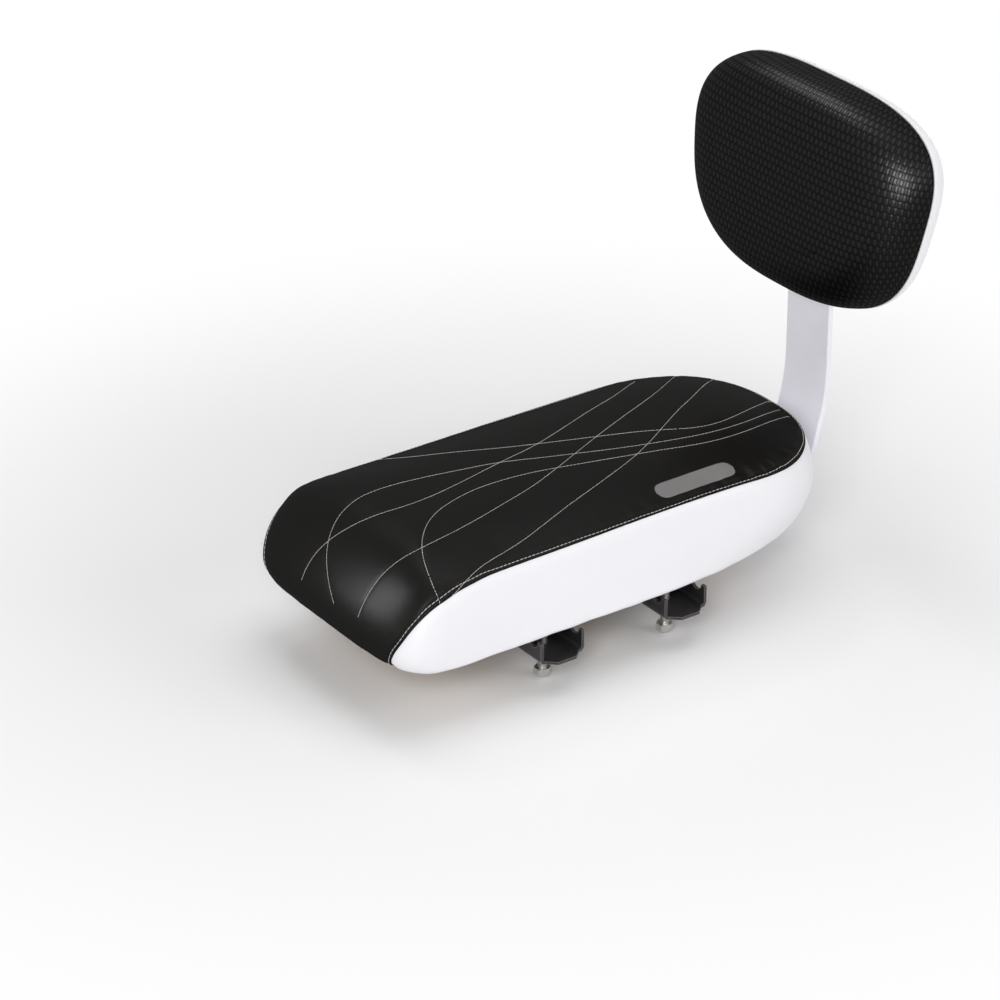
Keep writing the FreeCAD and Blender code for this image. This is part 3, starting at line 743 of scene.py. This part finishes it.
def zinc_finish():
    """The plated steel, made once for the bolts and the other fasteners."""
    made = bpy.data.materials.get("plated_steel")
    return made or handled("plated_steel", shades("zinc", 0.78, 1.12), 140.0, (0.24, 0.40), (0.15, 0.06 * MM),
                           Metallic=1.0).material


def board_finish():
    finish = Finish("seat_plywood", Specular_IOR_Level=0.3)
    stretched = add_node(finish.tree, "ShaderNodeMapping", Vector=finish.place, Scale=(1.0, 0.07, 6.0))
    figure = clouds(finish.tree, stretched.outputs[0], 120.0, Detail=6.0, Roughness=0.6, Distortion=1.2)
    finish.dress(finish.ranged(figure), ((0.40, 0.27, 0.15, 1), (0.62, 0.47, 0.30, 1)), (figure, 0.75, 0.62),
                 (figure, 0.25, 0.2 * MM))
    return finish.material


def packing_finish():
    return handled("rubber_packing", ((0.018, 0.018, 0.018, 1), (0.035, 0.034, 0.033, 1)), 80.0, (0.7, 0.85),
                   (0.4, 0.2 * MM), "Speck", Specular_IOR_Level=0.3).material


def foam_finish():
    finish = Finish("seat_foam", Specular_IOR_Level=0.2)
    cells = add_node(finish.tree, "ShaderNodeTexVoronoi", Vector=finish.place, Scale=1400.0).outputs[0]
    # The colour follows the cells that also give the relief: darker in the sunken middles of the cells. This
    # is painted shade in the foam's pores.
    finish.dress(cells, ((0.60, 0.53, 0.38, 1), (0.80, 0.74, 0.58, 1)), (cells, 0.9, 0.8),
                 (cells, 0.4, 0.3 * MM))
    return finish.material


# Pieces

class Workshop:
    """What one operator leaves for the next: the seam's line and the cushion's top panel."""
    seam = None
    top_panel = None


def seam_line(form):
    """The seam's knots on the left half, and its line from the left foot round the rear to the right foot."""
    knots = through(SEAM_KNOTS)
    left = np.array([form.at(share, level) for share, level in knots])
    right = left[::-1] * (-1, 1, 1)
    return knots, np.vstack([left, right[1:]])


# The rows of faces of the cover: shares of the way from the seam to the crown and to the foot, and hem levels
CROWN_ROWS = (0.02, 0.042, 0.07, 0.11, 0.17, 0.25, 0.34, 0.44, 0.55, 0.67, 0.79, 0.9, 1.0)
WALL_ROWS = (0.03, 0.07, 0.13, 0.22, 0.33, 0.46, 0.59, 0.72, 0.84, 0.93, 0.97, 1.0)
HEM_ROWS = (-0.12, -0.4, -0.75, -1.0)


def build_cover(form):
    """The cushion's cover as one sewn shell: top panel (finish 0), side band (finish 1) and turned hem."""
    seam_columns, front_columns, crown_end = 80, 12, 10
    half = seam_columns + front_columns
    knots, seam = seam_line(form)
    run = np.r_[0, np.cumsum(np.linalg.norm(np.diff(seam[:len(knots)], axis=0), axis=1))]
    wanted = np.arange(seam_columns) / (seam_columns - 0.5) * run[-1]
    seam_spots = [(np.interp(w, run, knots[:, 0]), np.interp(w, run, knots[:, 1])) for w in wanted]
    foot = SEAM_KNOTS[0][0]
    edge = [(foot * (k + 0.5) / front_columns, 0.0) for k in range(front_columns)] + seam_spots
    edge += [(2 - share, level) for share, level in reversed(edge)]
    inner = [(k + 0.5) / half for k in range(2 * half)]

    bm = bmesh.new()
    ring = first = start_ring(bm, [form.at(*spot) for spot in edge])
    for t in CROWN_ROWS:
        spots = [(s + (u - s) * t, level + (2 - level) * t) for (s, level), u in zip(edge, inner)]
        ring = pull_row(bm, ring, [form.at(*spot) for spot in spots], True, 0)

    row = first[front_columns:2 * half - front_columns]
    seam_edge = edge[front_columns:2 * half - front_columns]
    hem_shares = [foot + (1 - foot) * (k / (seam_columns - 0.5)) for k in range(seam_columns)]
    hem_shares += [2 - share for share in reversed(hem_shares)]
    for t in WALL_ROWS:
        spots = [(s + (u - s) * t, level * (1 - t)) for (s, level), u in zip(seam_edge, hem_shares)]
        row = pull_row(bm, row, [form.at(*spot) for spot in spots], False, 1)
    nose = first[2 * half - front_columns - 1:] + first[:front_columns + 1]
    nose_shares = [s for s, _ in edge[2 * half - front_columns - 1:] + edge[:front_columns + 1]]
    for level in HEM_ROWS:
        row = pull_row(bm, row, [form.at(share, level) for share in hem_shares], False, 1)
        nose = pull_row(bm, nose, [form.at(share, level) for share in nose_shares], False, 0)
    close_ring(bm, ring, crown_end)
    settle(bm)
    return bm, seam


def shrink_before_swell(piece, amount):
    """Draw the cut shape in between its seams, so that the padding brings it out to size."""
    seam_hold, hem_hold = 0.5 * MM, 2.5 * MM
    seam_ease, hem_ease = 25 * MM, 20 * MM
    slack_end, slack_ease = 150 * MM, 60 * MM
    seam = tree_of(evenly(Workshop.seam, 400))
    mesh = piece.data
    normals, points = vertex_values(mesh, "normal"), vertex_values(mesh)
    pinned = []
    for k, point in enumerate(points):
        gap = seam.find(point)[2]
        if gap < seam_hold or point[2] < hem_hold:
            pinned.append(k)
        room = min(gap / seam_ease, 1.0) * unit(point[2] / hem_ease)
        slack = unit((slack_end - abs(point[1])) / slack_ease)
        points[k] -= normals[k] * amount * room * (2 - room) * slack
    place_vertices(mesh, points)
    return pinned


def ripple(run, across, wavelength, seed, stretch=5):
    return noise.noise(Vector((run / wavelength, across / (stretch * wavelength), seed)))


def hill(value, middle, width, power=2):
    """A smooth hill of height 1 about its middle."""
    return math.exp(-((value - middle) / width) ** power)


def setback_at(height):
    """How far the topstitching stays from the seam at a height: less down the front than along the sides."""
    sizes = settings().stitch
    front_top, rise = 40 * MM, 14 * MM
    return sizes.seam_setback + sizes.side_setback * unit((height - front_top) / rise)


# The gathers of the top panel and of the side band: wavelength, seed, and middle and width beside the seam
TOP_GATHERS, BAND_GATHERS = (6.5 * MM, 3.0, 6 * MM, 9 * MM), (9 * MM, 8.0, 5 * MM, 12 * MM)


def gathers(run, gap, wavelength, seed, middle, width):
    return ripple(run, gap, wavelength, seed) * hill(gap, middle, width)


def sew_details(bm, seam_points, ornament_points, pucker):
    """Press in the seam, its gathers and the stitched lines, panel by panel."""
    seam_tree, ornament_tree = tree_of(seam_points), tree_of(ornament_points)
    total = line_length(np.array(seam_points))
    step = total / (len(seam_points) - 1)
    seam_sink, groove, groove_width, ornament_groove = 0.9 * MM, 0.55 * MM, 1.5 * MM, 0.28 * MM
    edge_roll, edge_width, band_roll, band_width = 0.35 * MM, 0.9 * MM, 1.0 * MM, 3.2 * MM
    hem_top, hem_wave, hem_wavelength = 12 * MM, 0.5 * MM, 16 * MM
    rear_half, corner_middle, corner_half, gather_ease = 150 * MM, 95 * MM, 55 * MM, 7 * MM
    corner_share = {True: 1.6, False: 0.4}
    panel = {}
    for face in bm.faces:
        for vert in face.verts:
            panel.setdefault(vert, set()).add(face.material_index)
    bm.normal_update()
    moves = {}
    for vert, finishes in panel.items():
        spot, number, gap = seam_tree.find(vert.co)
        run = number * step
        from_rear = abs(run - total / 2)
        rear = hill(from_rear, 0, rear_half, 4)
        corner = hill(from_rear, corner_middle, corner_half) * corner_share[spot.x > 0]
        if len(finishes) == 2:
            depth = -seam_sink
        elif 0 in finishes:
            gather = gathers(run, gap, *TOP_GATHERS) * min(gap / gather_ease, 1.0)
            depth = -groove * hill(gap, setback_at(spot.z), groove_width)
            depth -= edge_roll * hill(gap, 0, edge_width)
            depth += pucker * gather * (0.3 + 0.3 * rear + corner)
            depth -= ornament_groove * hill(ornament_tree.find(vert.co)[2], 0, groove_width)
        else:
            gather = 0.3 * pucker * gathers(run, gap, *BAND_GATHERS)
            depth = -band_roll * hill(gap, 0, band_width) + gather * (0.5 + 0.8 * rear)
        if vert.co.z < hem_top:
            wave = ripple(vert.co.x + vert.co.y, vert.co.x - vert.co.y, hem_wavelength, 5.0)
            depth += hem_wave * wave * (1 - max(vert.co.z, 0.0) / hem_top)
        moves[vert] = vert.normal * depth
    for vert, move in moves.items():
        vert.co += move


def panel_from(bm, finish):
    """One panel of the sewn shell, cut free along the seam."""
    panel = bm.copy()
    bmesh.ops.delete(panel, geom=[f for f in panel.faces if f.material_index != finish], context="FACES")
    for face in panel.faces:
        face.material_index = 0
    return panel


def turn_edge(panel, seam_tree, inward, onward):
    """Fold a panel's sewn edge in, so that it shows its thickness."""
    panel.normal_update()
    rim = [e for e in panel.edges if e.is_boundary and all(seam_tree.find(v.co)[2] < 2 * MM for v in e.verts)]
    normals = {v: v.normal.copy() for e in rim for v in e.verts}
    away = {}
    for edge in rim:
        face = edge.link_faces[0]
        middle = (edge.verts[0].co + edge.verts[1].co) / 2
        out = middle - face.calc_center_median()
        for vert in edge.verts:
            away[vert] = away.get(vert, Vector()) + out.normalized()
    made = bmesh.ops.extrude_edge_only(panel, edges=rim)["geom"]
    for vert in (v for v in made if isinstance(v, bmesh.types.BMVert)):
        source = next(e.other_vert(vert) for e in vert.link_edges if e.other_vert(vert) in normals)
        vert.co += away[source].normalized() * onward - normals[source] * inward


class RACKSEAT_OT_cushion(bpy.types.Operator):
    """Sew the seat cushion's black top panel and white side band"""
    bl_idname = "rackseat.cushion"
    bl_label = "Seat cushion"
    # For each finish of the sewn cover: its panel, slot and solids, and how far its edge folds in and onward
    panels = (("seat_top_panel", "black_cover", ("seat_top_cover", "seat_foam"), 1.3 * MM, 0.2 * MM),
              ("seat_side_band", "white_cover", ("seat_side_cover",), 1.8 * MM, 0.9 * MM))
    fill = 0.85
    swell_share = 0.75

    def execute(self, context):
        sizes = settings().cushion
        bm, Workshop.seam = build_cover(CoverForm(sizes))
        finishes = top_cover_finish(), side_cover_finish()
        cover = as_object(bm, "sewn_cover", *finishes)
        pinned = shrink_before_swell(cover, sizes.swell)
        swell(cover, pinned, self.swell_share * sizes.swell)
        refine(cover)
        bm = bmesh.new()
        bm.from_mesh(cover.data)
        seam_points = [Vector(p) for p in evenly(Workshop.seam, 900)]
        ornament = [Vector(p) for line in ornament_lines(BVHTree.FromBMesh(bm)) for p in line]
        sew_details(bm, seam_points, ornament, sizes.pucker)
        bpy.data.objects.remove(cover)
        seam_tree = tree_of(seam_points)
        for finish, (name, slot, replaced, inward, onward) in enumerate(self.panels):
            panel = panel_from(bm, finish)
            turn_edge(panel, seam_tree, inward, onward)
            piece = as_object(panel, name, finishes[finish])
            fit_piece(piece, slot, *replaced)
            if finish == 0:
                Workshop.top_panel = piece
        bm.free()
        return {"FINISHED"}


def lay_on(surface, line, rounds=30, passes=3):
    """A line brought onto a surface and evened out there."""
    for _ in range(passes):
        line = np.array([surface.find_nearest(Vector(p))[0] for p in line])
        for _ in range(rounds):
            line[1:-1] = (line[:-2] + 2 * line[1:-1] + line[2:]) / 4
    return np.array([surface.find_nearest(Vector(p))[0] for p in line])


def ornament_lines(surface):
    """The ornament's lines on the top panel, at steps of about a millimetre."""
    lines = []
    for points in ORNAMENT_LINES:
        line = through(points) * MM
        lines.append(lay_on(surface, eased(evenly(line, int(line_length(line) / MM) + 1))))
    return lines


class RACKSEAT_OT_stitching(bpy.types.Operator):
    """Lay the topstitching beside the seam and the ornament's stitch lines"""
    bl_idname = "rackseat.stitching"
    bl_label = "Stitching"
    seam_slant, seam_rounds = 0.06, 6
    ornament_thread = 0.74
    # From where the panel's edge faces rearwards or forwards, and how far the way out of it leans
    rear_from, rear_lean, front_top, front_lean, up_lean = 70 * MM, 1.5, 50 * MM, 0.6, 0.8

    def execute(self, context):
        sizes = settings().stitch
        finish = thread_finish()
        surface = surface_of(Workshop.top_panel)
        topstitch = lay_on(surface, self.set_back(surface), self.seam_rounds)
        seats = stitch_seats(surface, topstitch, sizes.seam_length, sizes.seam_pitch, sizes.thread,
                             self.seam_slant)
        fit_piece(sew("seam_stitches", seats, finish), "white_cover")
        seats = []
        for line in ornament_lines(surface):
            seats += stitch_seats(surface, line, sizes.ornament_length, sizes.ornament_pitch,
                                  self.ornament_thread * sizes.thread)
        fit_piece(sew("ornament_stitches", seats, finish), "white_cover")
        return {"FINISHED"}

    def set_back(self, surface):
        """The line beside the seam, set back from it on the top panel."""
        seam = evenly(Workshop.seam, 700)
        along = np.gradient(seam, axis=0)
        line = []
        for point, way in zip(seam[2:-2], along[2:-2]):
            normal = surface.find_nearest(Vector(point))[1]
            outward = Vector((point[0], max(point[1] - self.rear_from, 0) * self.rear_lean, 0)).normalized()
            forward = self.front_lean if point[2] < self.front_top else 0.0
            normal = (normal + outward + Vector((0, -forward, self.up_lean))).normalized()
            inward = Vector(way).cross(normal).normalized()
            line.append(Vector(point) - inward * setback_at(point[2]))
        return np.array(line)


class RACKSEAT_OT_badge(bpy.types.Operator):
    """Lay the bare grey patch on the top panel"""
    bl_idname = "rackseat.badge"
    bl_label = "Badge"
    gap, rise, skirt, rounding, sharp = 0.12 * MM, 0.45 * MM, 0.3 * MM, 0.3 * MM, 0.8

    def execute(self, context):
        low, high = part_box("badge_patch")
        middle = (low + high) / 2
        half_width, half_length = (high.x - low.x) / 2, (high.y - low.y) / 2
        above = high.z + 20 * MM
        surface = surface_of(Workshop.top_panel)
        bm = bmesh.new()
        straight = half_length - half_width
        bmesh.ops.create_grid(bm, x_segments=12, y_segments=56, size=1)
        for vert in bm.verts:
            across, along = vert.co.x, vert.co.y
            tip = max(abs(along) * half_length - straight, 0.0) / half_width
            vert.co = Vector((middle.x + across * half_width * math.sqrt(max(1 - tip ** 2, 0.0)),
                              middle.y + along * half_length, 0))
        bmesh.ops.remove_doubles(bm, verts=bm.verts, dist=0.05 * MM)
        for vert in bm.verts:
            place = surface.ray_cast(Vector((vert.co.x, vert.co.y, above)), Vector((0, 0, -1)))[0]
            vert.co = place + Vector((0, 0, self.gap))
        bmesh.ops.recalc_face_normals(bm, faces=bm.faces)
        rim = [e for e in bm.edges if e.is_boundary]
        skirt = bmesh.ops.extrude_edge_only(bm, edges=rim)["geom"]
        for vert in (v for v in skirt if isinstance(v, bmesh.types.BMVert)):
            vert.co.z -= self.skirt
        for vert in bm.verts:
            if not vert.is_boundary:
                vert.co.z += self.rise
        edges = [e for e in bm.edges if len(e.link_faces) == 2 and e.calc_face_angle(0) > self.sharp]
        bmesh.ops.bevel(bm, geom=edges, offset=self.rounding, segments=3, profile=0.5, affect="EDGES",
                        material=-1)
        fit_piece(as_object(bm, "grey_badge", badge_finish()), "grey_badge", "badge_patch")
        return {"FINISHED"}


# The middle of the backrest where its pad meets its shell, and how square its outline is
REST_MIDDLE = Vector((0, 213 * MM, 208 * MM))
REST_FULLNESS = 3.1


class RestFrame:
    """The backrest's own directions: across, up along its tilt, and forward out of its front."""

    def __init__(self, sizes):
        self.tilt = sizes.tilt
        self.origin = REST_MIDDLE

    def at(self, across, up, forward):
        sine, cosine = math.sin(self.tilt), math.cos(self.tilt)
        return self.origin + Vector((across, up * sine - forward * cosine, up * cosine + forward * sine))

    def flat(self, point):
        """Where a point lies across and up, seen square from the front."""
        away = point - self.origin
        return Vector((away.x, away.y * math.sin(self.tilt) + away.z * math.cos(self.tilt), 0))


def rest_outline(sizes, side, top, bottom, count, fullness=REST_FULLNESS):
    """The backrest's outline, drawn in by so much, from its low middle round by the left at equal steps."""
    taper = 0.11
    angle = np.radians(np.linspace(-90, 90, 241))
    share = np.sign(angle) * np.abs(np.sin(angle)) ** (2 / fullness)
    reach = np.clip(np.cos(angle), 0, 1) ** (2 / fullness)
    half = np.c_[(sizes.half_width - side) * (1 + taper * share) * reach,
                 (sizes.height - top - bottom) / 2 * share + (bottom - top) / 2]
    loop = evenly(half, count // 2, 1 / count, 1 - 1 / count)
    return np.vstack([loop, loop[::-1] * (-1, 1)])


class RACKSEAT_OT_backrest_pad(bpy.types.Operator):
    """Make the backrest's padded cover with its embossed weave"""
    bl_idname = "rackseat.backrest_pad"
    bl_label = "Backrest pad"
    columns, front_columns = 150, 20
    front_fullness = 2.6
    fill = 0.9
    swell_cap, swell_rounds = 2.5 * MM, 25
    held_within = 1.5 * MM
    # How far the hem behind the pad lies inside its rim, and how far forward it stands
    hem = ((2 * MM, -0.6 * MM), (8 * MM, -0.4 * MM))

    def execute(self, context):
        sizes = settings().backrest
        lie = RestFrame(sizes)
        bm = bmesh.new()
        cloth = bm.verts.layers.float_vector.new("cloth")
        rows = []
        for forward, side, top, bottom in np.array(PAD_PROFILE) * MM:
            fullness = REST_FULLNESS + (self.front_fullness - REST_FULLNESS) * forward / sizes.depth
            rows.append((rest_outline(sizes, side, top, bottom, self.columns, fullness), forward))
        ring = start_ring(bm, [lie.at(a, u, rows[0][1]) for a, u in rows[0][0]])
        rings = [ring]
        for outline, forward in rows[1:]:
            ring = pull_row(bm, ring, [lie.at(a, u, forward) for a, u in outline], True, 0)
            rings.append(ring)
        self.lay_weave(rings, rows, cloth)
        back = rings[0]
        for inset, forward in self.hem:
            outline = rest_outline(sizes, inset, inset, inset, self.columns)
            places = [lie.at(a, u, forward) for a, u in outline]
            grown = pull_row(bm, back, places, True, 0)
            for new, old in zip(grown, back):
                new[cloth] = old[cloth]
            back = grown
        laid = len(bm.verts)
        close_ring(bm, ring, self.front_columns)
        bm.verts.ensure_lookup_table()
        for vert in bm.verts[laid:]:
            vert[cloth] = lie.flat(vert.co)
        bmesh.ops.recalc_face_normals(bm, faces=bm.faces)
        weave = bm.loops.layers.uv.new("weave")
        for face in bm.faces:
            for loop in face.loops:
                loop[weave].uv = loop.vert[cloth].xy
        bm.verts.index_update()
        held = tree_of([lie.at(a, u, 0) for a, u in rows[0][0]])
        pinned = [v.index for v in bm.verts if v.is_boundary or held.find(v.co)[2] < self.held_within]
        piece = as_object(bm, "backrest_pad", pad_cover_finish())
        swell(piece, pinned, self.swell_cap, self.swell_rounds)
        refine(piece)
        fit_piece(piece, "black_cover", "rest_cover", "rest_foam")
        return {"FINISHED"}

    @staticmethod
    def lay_weave(rings, rows, cloth):
        """Lay the weave flat on the front and carry it on over the shoulder without stretching it."""
        front, depth = rows[-1]
        spread_out = np.zeros(len(front))
        outward = rows[0][0] - front
        outward /= np.linalg.norm(outward, axis=1)[:, None]
        inner, inner_depth = front, depth
        for vert, (across, up) in zip(rings[-1], front):
            vert[cloth] = (across, up, 0)
        for ring, (outline, forward) in reversed(list(zip(rings[:-1], rows[:-1]))):
            step = np.linalg.norm(outline - inner, axis=1)
            spread_out += np.hypot(step, forward - inner_depth)
            for vert, spot in zip(ring, front + outward * spread_out[:, None]):
                vert[cloth] = (*spot, 0)
            inner, inner_depth = outline, forward


def spin_profile(bm, profile, steps, turns=1, rise=0.0):
    """Spin a line of radii and heights about the upright axis, rising at each step if it is a thread."""
    verts = [bm.verts.new((radius, 0, height)) for radius, height in profile]
    edges = [bm.edges.new(pair) for pair in zip(verts, verts[1:])]
    bmesh.ops.spin(bm, geom=verts + edges, cent=(0, 0, 0), axis=(0, 0, 1), dvec=(0, 0, rise),
                   angle=2 * math.pi * turns, steps=steps, use_merge=not rise)
    bmesh.ops.remove_doubles(bm, verts=bm.verts, dist=0.005 * MM)
    bmesh.ops.recalc_face_normals(bm, faces=bm.faces)


class RACKSEAT_OT_bolts(bpy.types.Operator):
    """Make the clamp bolts with their rolled threads"""
    bl_idname = "rackseat.bolts"
    bl_label = "Clamp bolts"
    pitch, root, crest, head = 1.0 * MM, 2.45 * MM, 3.0 * MM, 6.5 * MM
    point, lead_in, thread_top, neck = 0.5 * MM, 0.8 * MM, -2 * MM, -1.4 * MM
    thread_steps, shank_steps, dome_steps = 20, 24, 6

    def execute(self, context):
        finish = zinc_finish()
        low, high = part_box("front_left_bolt")
        bolt = bmesh.new()
        self.thread(bolt, low.z + self.lead_in)
        self.shank(bolt, low.z, high.z)
        for node in ("front_left_bolt", "front_right_bolt", "rear_left_bolt", "rear_right_bolt"):
            low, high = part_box(node)
            bm = bolt.copy()
            bmesh.ops.translate(bm, verts=bm.verts, vec=((low.x + high.x) / 2, (low.y + high.y) / 2, 0))
            piece = as_object(bm, node.replace("bolt", "carriage_bolt"), finish)
            piece.data.set_sharp_from_angle(angle=math.radians(35))
            fit_piece(piece, "zinc_steel", node)
        bolt.free()
        return {"FINISHED"}

    def thread(self, bm, bottom):
        """A helical ridge with a flat crest, from just above the end up to the neck."""
        sunk = self.root - 0.1 * MM
        profile = [(radius, bottom + share * self.pitch)
                   for radius, share in ((sunk, 0.0), (self.crest, 0.38), (self.crest, 0.62), (sunk, 1.0))]
        turns = int((self.thread_top - bottom) / self.pitch) - 1
        spin_profile(bm, profile, turns * self.thread_steps, turns, self.pitch / self.thread_steps)

    def shank(self, bm, bottom, top):
        """The core, the plain neck and the domed head."""
        board_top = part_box("seat_base_board")[1].z
        dome = top - board_top
        radius = (self.head ** 2 + dome ** 2) / (2 * dome)
        line = [(0.0, bottom), (self.root - self.point, bottom), (self.root, bottom + self.point),
                (self.root, self.thread_top), (self.crest, self.neck), (self.crest, board_top),
                (self.head, board_top)]
        reach = math.asin(self.head / radius)
        for k in range(1, self.dome_steps + 1):
            angle = reach * (1 - k / self.dome_steps)
            line.append((radius * math.sin(angle), top - radius + radius * math.cos(angle)))
        spin_profile(bm, line, self.shank_steps)


class RACKSEAT_OT_hardware(bpy.types.Operator):
    """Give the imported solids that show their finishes"""
    bl_idname = "rackseat.hardware"
    bl_label = "Hardware finishes"

    def execute(self, context):
        by_slot = {"white_shell": shell_finish(), "white_paint": bar_finish(), "black_paint": clamp_finish(),
                   "zinc_steel": zinc_finish(), "board": board_finish(), "packing": packing_finish(),
                   "foam": foam_finish()}
        slots = {row["node"]: row["material_slot"] for row in frame["record"]["subparts"]}
        for name, node in frame["nodes"].items():
            finish = by_slot.get(slots[name])
            if finish is not None:
                node.data.materials.clear()
                node.data.materials.append(finish)
        return {"FINISHED"}


class RACKSEAT_OT_stage(bpy.types.Operator):
    """Set the floor, the lights and the camera"""
    bl_idname = "rackseat.stage"
    bl_label = "Stage"
    floor_gap = 0.3 * MM

    def execute(self, context):
        scene = context.scene
        scene.view_settings.view_transform = "Standard"
        self.floor(cad_box[0].z - self.floor_gap)
        self.world(scene)
        self.lamp("key", (1.32, -1.24, 1.05), (0, 0.05, 0.1), 0.6, 15.5)
        self.glint("front_glint", (-0.031, -0.254, 0.086), (0.055, -0.166, 0.0445), 0.03, 0.1, 0.095, 120)
        self.glint("shoulder_glint", (0.506, -0.048, 0.408), (0.101, 0.197, 0.248), 0.4, 0.3, 1.9, 70)
        self.glint("crest_glint", (-0.135, 0.18, 0.46), (0.03, 0.205, 0.275), 0.2, 0.1, 0.09, 50)
        self.lamp("front", (-0.2, -2.2, 0.6), (0, 0.1, 0.12), 1.5, 8.5)
        self.lamp("left", (-1.2, 0.05, 1.85), (0, 0.1, 0.15), 0.4, 3.0)
        self.lamp("side", (1.6, 0.95, 0.9), (0, 0.1, 0.12), 1.0, 9.0)
        self.lamp("top", (0.0, 0.3, 2.0), (0, 0, 0.05), 1.6, 13.0)
        self.camera(scene)
        return {"FINISHED"}

    @staticmethod
    def floor(height):
        """A pale floor that keeps the seat's shadow and goes over into plain white away from it."""
        white_from, white_to = 0.22, 0.62
        bm = bmesh.new()
        bmesh.ops.create_grid(bm, x_segments=2, y_segments=2, size=6.0)
        bmesh.ops.translate(bm, verts=bm.verts, vec=Vector((0, 0, height)))
        finish = Finish("pale_floor", Roughness=0.9, Specular_IOR_Level=0.1)
        tree = finish.tree
        cloud = clouds(tree, finish.place, 2.0, Detail=2.0)
        finish.feed(Base_Color=finish.mix(cloud, (0.91, 0.91, 0.915, 1), (0.93, 0.93, 0.935, 1)))
        reach = add_node(tree, "ShaderNodeVectorMath", {"operation": "LENGTH"}, i0=finish.place)
        away = add_node(tree, "ShaderNodeMapRange", {"interpolation_type": "SMOOTHSTEP"}, i1=white_from,
                        i2=white_to, i3=0.0, i4=1.0, Value=reach.outputs["Value"]).outputs[0]
        white = add_node(tree, "ShaderNodeEmission", Color=(1, 1, 1, 1), Strength=1.0)
        mix = add_node(tree, "ShaderNodeMixShader", i0=maths(tree, "MULTIPLY", away, seen_rays(tree)),
                       i1=tree.nodes["Principled BSDF"].outputs[0], i2=white.outputs[0])
        tree.links.new(mix.outputs[0], tree.nodes["Material Output"].inputs["Surface"])
        as_object(bm, "floor", finish.material)

    @staticmethod
    def world(scene):
        """Soft light from all round, and plain white where it is seen."""
        soft_light = 0.33
        world = bpy.data.worlds.new("studio")
        world.use_nodes = True
        tree = world.node_tree
        level = add_node(tree, "ShaderNodeMapRange", Value=seen_rays(tree), i1=0.0, i2=1.0, i3=soft_light,
                         i4=1.0)
        background = tree.nodes["Background"].inputs
        background["Color"].default_value = (1.0, 1.0, 1.0, 1)
        tree.links.new(level.outputs[0], background["Strength"])
        scene.world = world

    @staticmethod
    def lamp(name, place, target, size, watts):
        light = bpy.data.lights.new(name, "AREA")
        light.size = size
        light.energy = watts
        lamp = bpy.data.objects.new(name, light)
        lamp.location = place
        lamp.rotation_euler = (Vector(target) - Vector(place)).to_track_quat("-Z", "Y").to_euler()
        lamp.visible_camera = False
        bpy.context.scene.collection.objects.link(lamp)
        return lamp

    def glint(self, name, place, target, wide, tall, watts, spread):
        """A lamp that only shows as a sheen on the vinyl, and leaves the colours alone."""
        lamp = self.lamp(name, place, target, wide, watts)
        lamp.data.shape = "RECTANGLE"
        lamp.data.size_y = tall
        lamp.data.spread = math.radians(spread)
        lamp.visible_diffuse = False

    @staticmethod
    def camera(scene):
        """The view that the seat was measured from."""
        azimuth, elevation = math.radians(54.49), math.radians(27.93)
        target, distance = Vector((-8.54, -35.88, 45.27)) * MM, 2592.3 * MM
        lens = bpy.data.cameras.new("view")
        lens.lens = 145.3
        lens.sensor_width = 36.0
        eye = bpy.data.objects.new("view", lens)
        back = Vector((math.sin(azimuth) * math.cos(elevation), -math.cos(azimuth) * math.cos(elevation),
                       math.sin(elevation)))
        eye.location = target + back * distance
        eye.rotation_euler = (-back).to_track_quat("-Z", "Y").to_euler()
        scene.collection.objects.link(eye)
        scene.camera = eye


class RACKSEAT_PT_sidebar(bpy.types.Panel):
    """The seat's pieces in the order in which they are made"""
    bl_label = "Rack Seat"
    bl_idname = "RACKSEAT_PT_sidebar"
    bl_space_type = "VIEW_3D"
    bl_region_type = "UI"
    bl_category = "Rack Seat"

    def draw(self, context):
        for operator in OPERATORS:
            self.layout.operator(operator.bl_idname)
        for group in ("cushion", "backrest", "stitch", "finish"):
            box = self.layout.box()
            values = getattr(context.scene.rack_seat, group)
            for name in values.__annotations__:
                box.prop(values, name)


OPERATORS = (RACKSEAT_OT_cushion, RACKSEAT_OT_stitching, RACKSEAT_OT_badge, RACKSEAT_OT_backrest_pad,
             RACKSEAT_OT_bolts, RACKSEAT_OT_hardware, RACKSEAT_OT_stage)
CLASSES = (CushionSettings, BackrestSettings, StitchSettings, FinishSettings, RackSeatSettings, *OPERATORS,
           RACKSEAT_PT_sidebar)


def register():
    for item in CLASSES:
        bpy.utils.register_class(item)
    bpy.types.Scene.rack_seat = bpy.props.PointerProperty(type=RackSeatSettings)


def unregister():
    del bpy.types.Scene.rack_seat
    for item in reversed(CLASSES):
        bpy.utils.unregister_class(item)


def main():
    register()
    bpy.ops.rackseat.stage()
    bpy.ops.rackseat.cushion()
    bpy.ops.rackseat.stitching()
    bpy.ops.rackseat.badge()
    bpy.ops.rackseat.backrest_pad()
    bpy.ops.rackseat.bolts()
    bpy.ops.rackseat.hardware()


if __name__ == "__main__":
    main()
